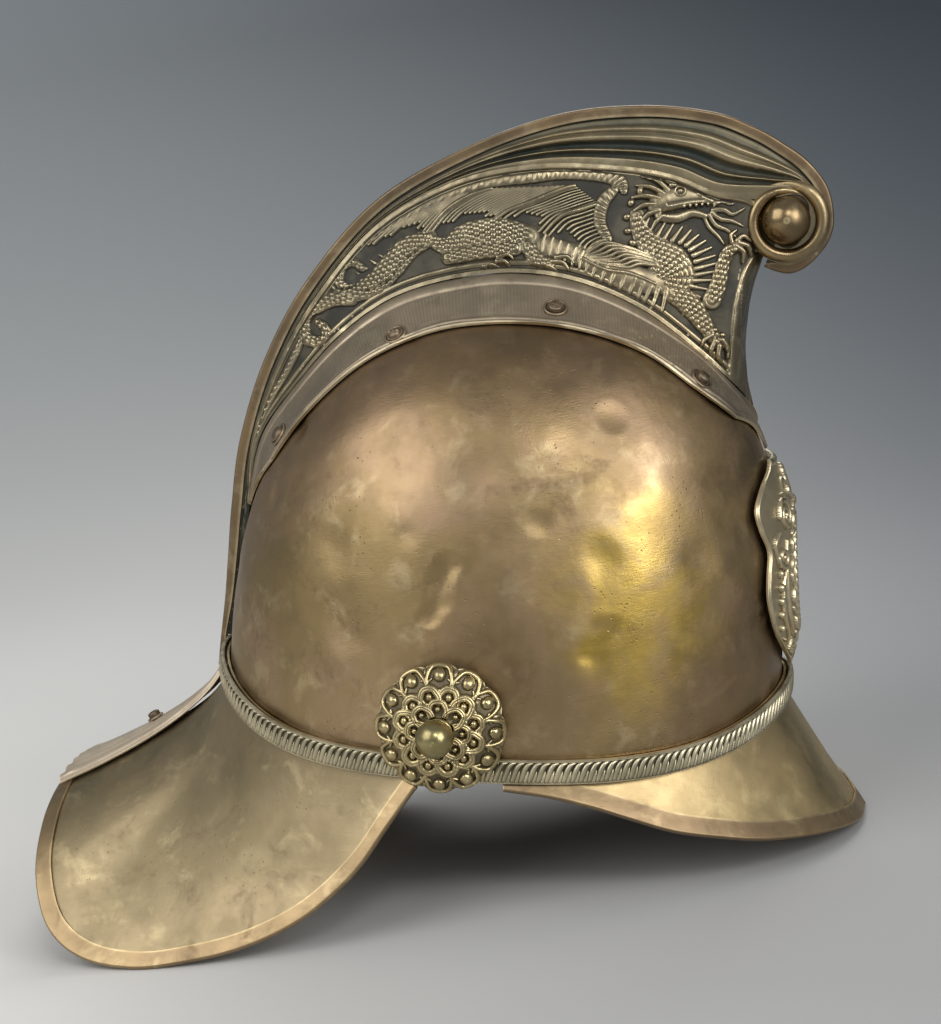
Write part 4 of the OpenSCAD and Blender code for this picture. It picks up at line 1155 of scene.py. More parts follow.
@dataclass(frozen=True)
class Dent:
    """A knock or crease from start to end in the worn frame, with its reach, depth and raised ring."""

    start: tuple[float, float, float]
    reach: float
    depth: float
    ring: float = 0.0
    end: tuple[float, float, float] | None = None

    def away(self, p: Array) -> Array:
        """How far points are from the dent, in its own reaches.

        Args:
            p: Points of the surface.

        Returns:
            One distance for each point.
        """
        a, b = np.asarray(self.start, float), np.asarray(self.end or self.start, float)
        d = b - a
        t = np.clip((p - a) @ d / max(float(d @ d), 1e-9), 0, 1)
        ragged = 1 + 0.22 * ripple(p, 61, 1.7 * self.reach, 5)
        return np.linalg.norm(p - a - t[..., None] * d, axis=-1) / self.reach * ragged


@dataclass
class Skull:
    """The pressed skull: one thin dome with the knocks of long use.

    beats holds the pattern, the size of the waves and the share of each layer of unevenness.
    """

    columns: int = 420
    rows: int = 170
    pole_angle: float = 88.2
    wall_angle: float = 20.0
    crowding: float = 0.8
    edge_drop: float = 4.4
    beat_depth: float = 0.3
    beats: tuple[tuple[int, float, float], ...] = ((3, 70, 0.7), (5, 24, 0.5), (6, 9, 0.09))
    ring_place: float = 1.1
    ring_width: float = 0.26
    dents: tuple[Dent, ...] = (
        Dent((45.8, -70.2, 117.9), 6.5, 0.55, 0.16), Dent((48, -69, 116), 15, 0.75),
        Dent((-12.6, -93.2, 63), 4.8, 1.4, 0.3, (-18.6, -94.8, 44)),
        Dent((21.2, -90, 78.6), 5.5, 0.75, 0.1), Dent((-78.5, -43.9, 106.9), 5.5, 1.0, 0.2),
        Dent((-86.9, -51.3, 81.8), 6.5, 1.1, 0.2), Dent((-36.8, -77.6, 101.9), 17, 1.2),
        Dent((45.1, -87.3, 66), 8, 0.9), Dent((44.5, -90.4, 40), 6, 0.8, 0.1, (41.5, -91.6, 31)),
        Dent((-52.1, -87.5, 36), 13, 1.3), Dent((80.1, -69.2, 64.1), 12, 1.0),
        Dent((25.7, -65.3, 132.4), 8, 0.9), Dent((-59.2, -79.5, 67), 10, 0.9),
        Dent((-1.8, -85.4, 97.8), 12, 0.8), Dent((-9.2, -60.6, 137.1), 10, 0.8), Dent((60, -78, 92), 6, 0.7),
        Dent((8, -92, 50), 3.2, 0.6, 0.1, (3, -94, 36)), Dent((-30, -90, 74), 5, 0.7),
        Dent((-70, 74, 70), 14, 1.2), Dent((20, 91, 66), 10, 1.0), Dent((66, 72, 92), 12, 1.1, 0.2),
        Dent((-98, 30, 60), 10, 1.1), Dent((-30, 88, 92), 7, 0.9, 0.1, (-22, 90, 74)),
        Dent((-108, -20, 44), 9, 0.9), Dent((36, 60, 134), 9, 0.9), Dent((-48, 82, 52), 8, 0.8),
        Dent((104, 18, 96), 7, 0.7))

    def knocked(self, outer: Array) -> Array:
        """How far each point of the surface is beaten in, in millimetres.

        Args:
            outer: Points of the surface.

        Returns:
            One depth for each point.
        """
        beaten = sum(share * ripple(outer, seed, size) for seed, size, share in self.beats)
        depth = self.beat_depth * (beaten + 1)
        for dent in self.dents:
            d = dent.away(outer)
            depth += dent.depth * np.exp(-(d**2) * 1.6)
            if dent.ring:
                depth -= dent.ring * hump(d, self.ring_place, self.ring_width)
        return np.maximum(depth, 0.0)

    def make(self) -> None:
        """Builds the skull."""
        phi = np.linspace(0, TAU, self.columns, endpoint=False)[None, :]
        crown = np.linspace(self.pole_angle, self.wall_angle, self.rows * 3 // 5)
        t = np.concatenate([crown, np.linspace(self.wall_angle, 0, self.rows * 2 // 5)[1:]])
        low = SKULL.band_z(phi) - self.edge_drop
        z = low + (SKULL.crown - low) * np.sin(np.radians(t))[:, None] ** self.crowding
        outer = SKULL.at(np.broadcast_to(phi, z.shape), z)
        pole = np.broadcast_to(np.array([0.0, 0.0, SKULL.crown]), (1, self.columns, 3))
        outer = np.concatenate([pole, outer])
        normal = grid_normals(outer, wrap=True)
        normal[0] = [0, 0, 1]
        outer = outer - normal * self.knocked(outer)[..., None]
        shape = Shape()
        shape.sheet(outer, outer - normal * SKULL.sheet, wrap=True)
        Fitting("skull_brass", ("skull",)).fit(shape.build("skull_shell", FINISHES.of(SKULL_BRASS)))


# Peaks


@dataclass
class Peak:
    """A peak, riveted under the base band, with a folded binding round its rim."""

    end: End
    rim: tuple[tuple[float, float, float], ...]
    reach: float
    lean: tuple[float, float]
    gain: float
    seed: int
    brass: AgedBrass = PEAK_BRASS
    nicks: tuple[tuple[float, float, float], ...] = ()
    collar_off: float = 1.25
    collar_height: float = 4.0
    band_width: float = 9.0
    sheet: float = 0.9
    binding_width: float = 6.5
    binding_sheet: float = 0.7
    binding_gap: float = 0.25
    binding_clear: float = 0.5
    rows: int = 60
    columns: int = 361
    binding_columns: int = 421
    nick_depth: float = 0.8

    def ring(self, u: Array, dz: float) -> Array:
        """Points dz above the base band's middle line, u running from ear to ear as -1 to 1."""
        start = math.pi if self.end is End.REAR else 0.0
        return SKULL.wall(start + math.radians(self.reach) * u, self.collar_off, dz)

    def base(self, u: Array) -> Array:
        """Points where the peak leaves the skull."""
        return self.ring(u, -self.band_width / 2 - 0.1)

    def rim_at(self, u: Array) -> Array:
        """Points of the rim.

        Args:
            u: Places from ear to ear, -1 to 1.

        Returns:
            One point for each place.
        """
        q = spline(np.asarray(self.rim), np.abs(u) * (len(self.rim) - 1))
        flip = (u < 0) != (self.end is End.REAR)
        return q * np.stack([np.ones_like(u), np.where(flip, -1.0, 1.0), np.ones_like(u)], -1)

    def control(self, u: Array) -> Array:
        """Middle point of the bow from the base to the rim.

        Args:
            u: Places from ear to ear, -1 to 1.

        Returns:
            One point for each place.
        """
        base = self.base(u)
        d = self.rim_at(u) - base
        side = self.lean[0] + self.gain * np.abs(u)
        return base + np.stack([d[..., 0] * side, d[..., 1] * side, d[..., 2] * self.lean[1]], -1)

    def point(self, u: Array, t: Array) -> Array:
        """Points of the peak, t running from its base to its rim."""
        t = np.asarray(t)[..., None]
        return (1 - t) ** 2 * self.base(u) + 2 * t * (1 - t) * self.control(u) + t**2 * self.rim_at(u)

    def depth(self, u: Array) -> Array:
        """Depth of the binding."""
        room = np.linalg.norm(self.rim_at(u) - self.base(u), axis=-1)
        return np.minimum(self.binding_width, room - self.binding_clear)

    def fold_share(self, u: Array) -> Array:
        """Share of the bow at which the binding's inner edge runs."""
        slope = 2 * np.linalg.norm(self.rim_at(u) - self.control(u), axis=-1)
        return np.maximum(0.5, 1 - (self.depth(u) + self.binding_clear) / slope)

    def blade(self) -> Shape:
        """The peak's sheet, slightly uneven.

        Returns:
            The sheet.
        """
        u, size = np.linspace(-1, 1, self.columns), (self.rows, self.columns)
        t = np.linspace(0, 1, self.rows)[:, None]
        g = self.point(np.broadcast_to(u, size), np.broadcast_to(t, size))
        g = np.concatenate([self.ring(u, self.collar_height)[None], g])
        n = grid_normals(g)
        free = np.concatenate([[0.0], (np.sin(np.pi * np.clip(t[:, 0] / 0.9, 0, 1)) ** 0.5)])[:, None]
        wave = ripple(g, self.seed, 46) * 0.28 - 0.2
        for x, y, r in self.nicks:
            wave -= self.nick_depth * np.exp(-((g[..., 0] - x) ** 2 + (g[..., 1] - y) ** 2) / r**2)
        g = g + n * (wave * free)[..., None]
        shape = Shape()
        shape.sheet(g, g - n * self.sheet)
        return shape

    def binding(self) -> Shape:
        """The folded strip round the rim.

        Returns:
            The strip.
        """
        u = np.linspace(-1, 1, self.binding_columns)
        rim, out = self.rim_at(u), self.binding_gap + self.binding_sheet
        outward = unit(rim - self.point(u, self.fold_share(u)))
        along = self.rim_at(np.minimum(u + 0.01, 1)) - self.rim_at(np.maximum(u - 0.01, -1))
        normal = unit(np.cross(outward, along))
        side = unit(np.cross(along, normal))
        depth = self.depth(u)[:, None]
        mid, half = -self.sheet / 2, out + self.sheet / 2
        fold = [(-1.0, out), (-0.85, out), (-0.5, out)]
        for a in np.radians(np.linspace(90, -90, 15)):
            rise = math.copysign(abs(math.sin(a)) ** 0.7, a)
            fold.append((max(math.cos(a), 0) ** 0.8 * out, mid + half * rise))
        fold += [(-0.5, mid - half), (-0.85, mid - half), (-1.0, mid - half)]
        beat = 0.12 * ripple(rim, self.seed + 7, 24)[:, None]
        rows = []
        for x, y in fold:
            q = x * depth * outward if x < 0 else x * side
            rows.append(rim + q + (y - np.abs(beat) * (1 if abs(x) < 0.9 else 0.3)) * normal)
        g = np.stack(rows)
        shape = Shape()
        shape.sheet(g, g - grid_normals(g) * self.binding_sheet)
        return shape

    def make(self) -> None:
        """Builds the peak and its binding."""
        word = self.end.value
        Fitting("peak_brass", (f"{word}_peak",)).fit(
            self.blade().build(f"{word}_peak_blade", FINISHES.of(self.brass)))
        Fitting("binding_brass", (f"{word}_peak_binding",)).fit(
            self.binding().build(f"{word}_peak_fold", FINISHES.of(BINDING_BRASS)))


FRONT_PEAK = Peak(
    End.FRONT,
    ((150, 0, -47), (146.3, 24, -46), (137, 45, -43.8), (123, 62, -42.2), (106.5, 75.5, -40.5),
     (89.5, 85, -37.4), (73, 91.5, -34), (57.5, 96, -28.8), (42.5, 98.2, -24.2), (27, 99, -20.9),
     (10, 99.2, -19.2)),
    86.0, (0.45, 0.5), 0.0, 11)
# The rear peak takes the darker copy of the peak brass, as painted shade.
REAR_PEAK = Peak(
    End.REAR,
    ((-187, 0, -47.5), (-186, 28, -49.5), (-184.5, 50, -58.5), (-181, 68, -73), (-172, 81, -89),
     (-156, 91, -96.5), (-134, 98, -97), (-112, 102, -92), (-88, 104, -84), (-65, 105, -71),
     (-46, 104, -53), (-33, 101.3, -34), (-23.5, 98.3, -20)),
    80.0, (0.05, 0.43), 0.25, 17, REAR_PEAK_SHADED_BRASS, ((-84, -103, 4.0), (-150, -84, 5.0)))


# Base band


@dataclass
class ChainBand:
    """The band round the base: interlocking links on a strip, between two plain wires."""

    end: End
    start: float
    stop: float
    outer: float = 4.1
    strip: float = 0.75
    width: float = 9.0
    pitch: float = 3.2
    end_room: float = 4.6
    stations: int = 1200
    columns: int = 500

    def make(self) -> None:
        """Builds the band."""
        phi = np.radians(np.linspace(self.start, self.stop, self.stations))
        line = SKULL.wall(phi, self.outer, np.zeros_like(phi))
        run = np.concatenate([[0.0], np.cumsum(np.linalg.norm(np.diff(line, axis=0), axis=1))])

        def bent(a: Array, w: Array, d: Array) -> Array:
            """Points a along, w up and d outward from the strip's face, bent round the skull."""
            return SKULL.wall(np.interp(a, run, phi), self.outer - self.strip + d, w)

        half = self.width / 2
        shape = Shape()
        a = np.linspace(0, run[-1], self.columns)
        rows = ((-half, -1.0), (-half, 0.35), (-half + 0.35, 0.1), (half - 0.5, 0.1), (half, 0.35),
                (half, -1.0))
        g = np.stack([bent(a, np.full_like(a, w), np.full_like(a, d)) for w, d in rows])
        inward = float((grid_normals(g)[2] * (g[2] - [0, 0, -10])).sum(-1).mean()) < 0
        shape.surface(g, relief=np.repeat(np.array([0.0, 0.3, 0.0, 0.0, 0.3, 0.0])[:, None], len(a), 1),
                      flip=inward)
        out = unit(np.stack([line[:, 0], line[:, 1], np.zeros(len(line))], -1))
        for w, r in ((half - 0.42, 0.42), (-half + 0.32, 0.32)):
            shape.tube(bent(a, np.full_like(a, w), np.full_like(a, 0.45)), r, 6,
                       up=np.stack([np.interp(a, run, out[:, k]) for k in range(3)], -1), relief=0.75)
        upper = np.array([(-0.5, -3.9), (-0.1, -2.9), (0.35, -1.5), (0.8, 0.0), (1.35, 1.4), (2.2, 2.7),
                          (3.3, 3.35), (4.3, 3.3)])
        lower = np.array([(1.1, -3.9), (1.5, -3.0), (1.85, -1.8), (2.15, -0.6), (2.4, 0.5)])
        count = int((run[-1] - self.end_room) / self.pitch)
        gap = (run[-1] - self.end_room - count * self.pitch) / 2
        rise = np.interp(np.linspace(0, 1, 12), [0, 0.3, 0.7, 1], [0.55, 0.7, 0.75, 0.35])
        for k in range(count + 1):
            a0 = gap + 0.6 + k * self.pitch
            for knots, radius, lift in ((upper, (0.7, 1.0, 1.02, 0.8, 0.3), rise),
                                        (lower, (0.75, 0.8, 0.7, 0.45, 0.12), rise * 0.75)):
                p = through(knots, 12)
                r = np.interp(np.linspace(0, 1, 12), np.linspace(0, 1, 5), radius)
                path = bent(a0 + p[:, 0], np.clip(p[:, 1], -half + 0.4, half - 0.6), lift * 0.62)
                at = np.interp(a0 + p[:, 0], run, np.arange(len(run))).astype(int)
                shape.tube(path, r, 8, squash=0.8, up=out[at])
        nodes = (f"base_band_{self.end.value}",)
        piece = shape.build(f"chain_band_{self.end.value}", FINISHES.of(BAND_BRASS))
        Fitting("ornament_brass", nodes).fit(piece)


# Comb


# Lines of the comb in the worn frame. The tail has x, z and its share of the binding's depth, the crest x and
# z, the panel's top and foot x, y and z, and the flange's edge x and y. The bulge is how far forward each
# station of the panel swells.
CREST_TAIL = ((-123.2, 1.6, 0.5), (-122, 14.5, 0.5), (-120.2, 31, 0.75), (-118.8, 50, 0.9))
CREST = ((-117.3, 70), (-113.6, 98), (-103, 132), (-85, 165), (-56, 198), (-18, 220), (19, 233), (52, 236.5),
         (80, 234), (97, 228), (108, 222), (118, 215), (126, 205), (129, 193), (127.5, 184), (121, 174.5),
         (112, 169.5), (102, 173))
PANEL_TOP = ((-109.8, 3.4, 71.5), (-106.5, 6, 100), (-95, 7.5, 131), (-79, 8.5, 158.5), (-54, 9, 187.5),
             (-22, 9, 205.5), (10, 9, 212.3), (42, 9, 212), (64, 9, 208.8), (81, 9, 202.5), (98, 9, 197.5),
             (101.5, 1.2, 177))
PANEL_FOOT = ((-108.3, 6, 72), (-101.5, 12, 101), (-84, 17, 125), (-66.5, 20, 144), (-46, 22, 158.5),
              (-22, 22.5, 166.5), (5, 22.5, 169.5), (30, 22.5, 166), (55, 22, 155.5), (76, 19, 140),
              (89, 15, 128.5), (99.5, 1.2, 117))
FLANGE_EDGE = ((-105.5, 18), (-91, 37), (-76, 42), (-57, 43.5), (-38, 44), (-18, 43.5), (8, 44.5), (33, 45.5),
               (57, 45.5), (76, 44), (92, 33), (105.5, 1.2))
PANEL_BULGE = (0, 0, 0, 0, 0, 0, 0, 0, 0, 0, -1, -4.6)


@dataclass(frozen=True)
class Dragon:
    """The figure embossed on the comb: a winged, scaled dragon with a coiled tail, an old heraldic figure."""

    masses: tuple[Knots, ...] = (
        ((662, 284, 11), (636, 279, 14), (605, 266, 12), (575, 254, 11), (545, 246, 10)),
        ((528, 236, 12), (500, 234, 17), (470, 236, 15), (448, 250, 9)))
    scaled: tuple[Knots, ...] = (
        ((637, 216, 8), (641, 232, 10), (652, 247, 14), (667, 262, 21), (676, 276, 20), (674, 290, 13)),
        ((672, 292, 10), (690, 305, 12), (705, 325, 9), (719, 345, 6)),
        ((712, 300, 10), (718, 286, 9), (722, 268, 7.5), (728, 252, 6.5), (736, 247, 6)),
        ((528, 236, 11), (498, 233, 16), (468, 236, 14), (447, 246, 9), (428, 238, 6)),
        ((430, 238, 8), (408, 248, 12), (392, 266, 13), (374, 284, 12), (352, 293, 9), (338, 284, 7),
         (340, 268, 6), (352, 262, 5), (362, 268, 4)),
        ((352, 300, 6), (334, 299, 8), (314, 307, 9), (303, 322, 8), (307, 338, 7), (321, 341, 6),
         (326, 330, 5), (318, 322, 4)),
        ((515, 248, 8), (480, 252, 8), (448, 258, 7)),
        ((528, 246, 8), (535, 258, 8), (550, 264, 6)))
    ropes: tuple[Knots, ...] = (
        ((368, 243, 2), (400, 221, 3), (440, 199, 4), (485, 184, 5), (530, 177, 6.5), (565, 172, 7.5),
         (600, 174, 8), (620, 182, 7), (624, 191, 4)),
        ((614, 190, 5), (603, 203, 7), (600, 222, 6.5), (608, 239, 5)))
    spars: tuple[Knots, ...] = (
        ((440, 199), (425, 205), (400, 222), (380, 235), (365, 248)),
        ((492, 189), (470, 196), (445, 212), (425, 236)),
        ((575, 186), (560, 190), (530, 203), (510, 210), (493, 222)),
        ((598, 204), (580, 210), (560, 217), (541, 237)),
        ((606, 240), (598, 242), (590, 248), (584, 258)))
    strands: tuple[tuple[Knots, Knots], ...] = (
        (((583, 258), (592, 250), (612, 243), (652, 256)), ((583, 259), (622, 268), (642, 264), (662, 268))),)
    ray_feet: Knots = ((645, 226), (655, 236), (668, 240), (682, 243), (690, 250), (695, 260), (696, 272),
                       (692, 282), (684, 290))
    ray_tips: Knots = ((650, 216), (662, 221), (674, 225), (688, 229), (700, 236), (710, 246), (716, 258),
                       (717, 270), (711, 284), (700, 297))
    fringe: tuple[Knots, ...] = (
        ((588, 262), (586, 271)), ((598, 263), (592, 276)), ((607, 267), (600, 283)), ((615, 272), (609, 288)),
        ((625, 275), (619, 292)), ((635, 279), (628, 297)), ((643, 283), (637, 301)), ((651, 287), (643, 304)),
        ((658, 290), (652, 308)), ((666, 293), (662, 311)))
    flames: tuple[Knots, ...] = (
        ((712, 206, 2.4), (722, 200, 3), (731, 203, 2.4), (741, 196, 1)),
        ((713, 210, 2.6), (724, 210, 3.2), (733, 214, 2.4), (745, 208, 1)),
        ((712, 213, 2.6), (721, 219, 3), (732, 221, 2.6), (743, 226, 1)),
        ((709, 215, 2.4), (716, 225, 2.8), (727, 230, 2.4), (737, 238, 1)),
        ((704, 216, 2), (709, 227, 2.4), (718, 236, 2), (724, 244, 1)))
    mane: tuple[Knots, ...] = (
        ((668, 190, 3), (656, 180, 3), (641, 176, 1.2)), ((664, 194, 3), (650, 187, 3), (636, 186, 1.2)),
        ((660, 199, 3.2), (646, 196, 3.2), (632, 198, 1.4)),
        ((658, 205, 3.2), (645, 205, 3.2), (634, 211, 1.4)),
        ((659, 211, 3.2), (649, 214, 3.2), (641, 222, 1.4)), ((664, 215, 3), (656, 222, 3), (651, 231, 1.2)),
        ((674, 186, 3.2), (664, 178, 3), (654, 174, 1)))
    claws: tuple[Knots, ...] = (
        ((715, 341, 3.4), (711, 350, 3), (712, 358, 1)), ((719, 346, 3.4), (718, 356, 3), (722, 364, 1)),
        ((722, 340, 3.2), (727, 349, 2.6), (727, 358, 1)), ((712, 335, 3), (704, 340, 2.6), (701, 347, 1)),
        ((735, 246, 3.4), (743, 252, 3), (742, 263, 1)), ((738, 243, 3.4), (747, 246, 3), (750, 255, 1)),
        ((737, 241, 3.2), (743, 236, 2.8), (750, 241, 1)), ((732, 243, 3), (731, 235, 2.6), (737, 230, 1)),
        ((497, 262, 3), (506, 262, 2.6), (511, 270, 1)), ((492, 266, 3), (500, 270, 2.6), (503, 277, 1)),
        ((484, 268, 3), (490, 275, 2.4), (491, 282, 1)), ((498, 258, 3), (508, 255, 2.4), (514, 260, 1)),
        ((552, 262, 3), (563, 263, 2.6), (569, 270, 1)), ((548, 267, 3), (556, 272, 2.6), (560, 279, 1)),
        ((556, 258, 3), (567, 257, 2.4), (574, 263, 1)))

    def draw(self, r: Relief) -> None:
        """Embosses the whole figure, from what lies lowest to what lies highest.

        Args:
            r: The relief that it is embossed in.
        """
        self.wing(r)
        self.tail(r)
        self.body(r)
        self.head(r)

    def wing(self, r: Relief) -> None:
        """The wing: ribbed webs between long spars, under a laid rope and a feathered arm.

        Args:
            r: The relief that it is embossed in.
        """
        for upper, lower in zip(self.spars, self.spars[1:]):
            a, b = through(upper, 40), through(lower, 40)
            wide = np.linalg.norm(b - a, axis=1)
            count = max(6, round(float(wide.max()) / 5.6))
            for k in range(1, count):
                q = k / count
                last = 40 - round(9.5 * math.sin(math.pi * q))
                rib, room = (a + (b - a) * q)[:last:4], wide[:last:4] / count
                r.roll(rib, [max(w * 0.34, 0.95) for w in room], 1.2, 0.05, count=24)
            r.roll(b[::6], (1.8, 2.8, 1.8), 1.25, 0.6, count=20)
        r.roll(through(self.spars[0], 14)[::2], (1.6, 2.0, 1.2), 1.0, 0.3, count=20)
        r.groove(((622, 203), (613, 214), (612, 232), (622, 246), (640, 254)), 2.6, 0.7)
        for rope, turns in zip(self.ropes, (30, 9)):
            r.limb(rope, 1.5, 0.5, twist=turns)

    def tail(self, r: Relief) -> None:
        """The tail's thin end, with a bead at each joint, and spines on the coils.

        Args:
            r: The relief that it is embossed in.
        """
        thin = ((300, 342, 4), (293, 358, 4), (285, 374, 3.6), (275, 391, 3.2), (265, 411, 2.6),
                (257, 432, 1.6))
        r.limb(thin, 1.0, 0.35)
        for k, (x, y) in enumerate(through([p[:2] for p in thin], 15)):
            r.dome((x, y), 4.4 - 0.18 * k, 2.3, 1.5, -62, 0.35)
        for k in range(8):
            x, y = 420 - 9 * k, 236 + 5.4 * k
            r.roll(((x, y), (x - 5, y - 3)), (2.0, 0.8), 0.8, 0.25)

    def body(self, r: Relief) -> None:
        """The body: trunk, scaled limbs, plated belly, hair, rays and fringe.

        Args:
            r: The relief that it is embossed in.
        """
        feet, tips = through(self.ray_feet, 15), through(self.ray_tips, 15)
        for foot, tip in zip(feet, tips):
            r.roll((foot, tip), (3.0, 1.4), 1.15, 0.3)
        for mass in self.masses:
            r.limb(mass, 1.5, 0.2)
        for knots in self.fringe:
            r.roll(knots, (3.6, 2.0), 1.35, 0.5)
        for upper, lower in self.strands:
            a, b = through(upper, 16), through(lower, 16)
            for k in range(8):
                q = k / 7
                r.roll((a + (b - a) * q)[::3], (1.4, 2.4, 1.8), 1.25, 0.75 + 0.1 * math.sin(3 * k), count=24)
        r.roll(((583, 259), (606, 270), (630, 274), (655, 284)), (2.2, 2.6, 2.0), 1.6, 0.6)
        for k in range(6):
            x, y = 546 + 7.5 * k, 243 + 3.2 * k
            r.roll(((x, y - 8), (x - 3, y), (x - 4, y + 9)), (1.8, 2.8, 1.8), 1.2, 0.75)
        for limb in reversed(self.scaled):
            r.scales(limb, 1.55, 0.55)
        for knots in self.claws:
            r.limb(knots, 1.7, 0.8)
        for x, y in ((715, 330), (722, 335), (717, 342), (727, 256), (735, 250)):
            r.dome((x, y), 3.0, 2.6, 1.6, 0, 1.0)
        for k, (x, y) in enumerate(((640, 191), (631, 203), (627, 217), (628, 231), (633, 243))):
            r.dome((x, y), 4.4, 3.6, 1.5, -70 + 20 * k, 0.4)
        r.groove(((368, 258), (356, 254), (342, 260), (333, 272), (334, 286), (346, 290), (357, 283),
                  (356, 273), (347, 272)), 1.5, 1.1)
        r.groove(((330, 290), (318, 298), (303, 306), (296, 322)), 1.4, 0.8)
        r.groove(((322, 316), (312, 322), (313, 333), (321, 335)), 1.4, 1.0)
        r.groove(((424, 246), (404, 262), (388, 282), (368, 291)), 1.2, 0.7)

    def head(self, r: Relief) -> None:
        """The head, facing the brow: mane, ringed eye, open jaws and a breath of flame.

        Args:
            r: The relief that it is embossed in.
        """
        for flame in self.flames:
            r.limb(flame, 1.15, 0.3)
        for lock in self.mane:
            r.limb(lock, 1.5, 0.75)
        r.limb(((656, 206, 9), (668, 201, 13), (682, 197, 12), (698, 197, 7.5), (710, 199, 5.5)), 2.0, 0.6)
        r.limb(((660, 216, 6), (676, 218, 5.5), (692, 213, 4.4), (705, 216, 3.4)), 1.5, 0.6)
        r.limb(((700, 193, 4), (709, 192, 3.6), (714, 196, 2)), 1.1, 1.9)
        r.groove(((664, 213), (680, 210), (696, 206), (712, 206)), 1.7, 1.2)
        r.groove(((668, 205), (678, 203), (690, 201), (704, 200)), 1.1, 0.5)
        for k in range(5):
            r.dome((684 + 6 * k, 206.5 - 0.6 * k), 1.7, 2.0, 0.9, 0, 1.4)
        eye = [(680 + 5.2 * math.cos(q), 192 + 4.4 * math.sin(q)) for q in np.linspace(0, TAU, 13)]
        r.roll(eye, (1.2, 1.2), 0.9, 2.0, count=30)
        r.dome((680, 192), 2.9, 2.6, 1.0, 0, 2.2)
        r.limb(((671, 186, 2.6), (682, 184, 3.0), (692, 188, 1.6)), 1.0, 2.0)


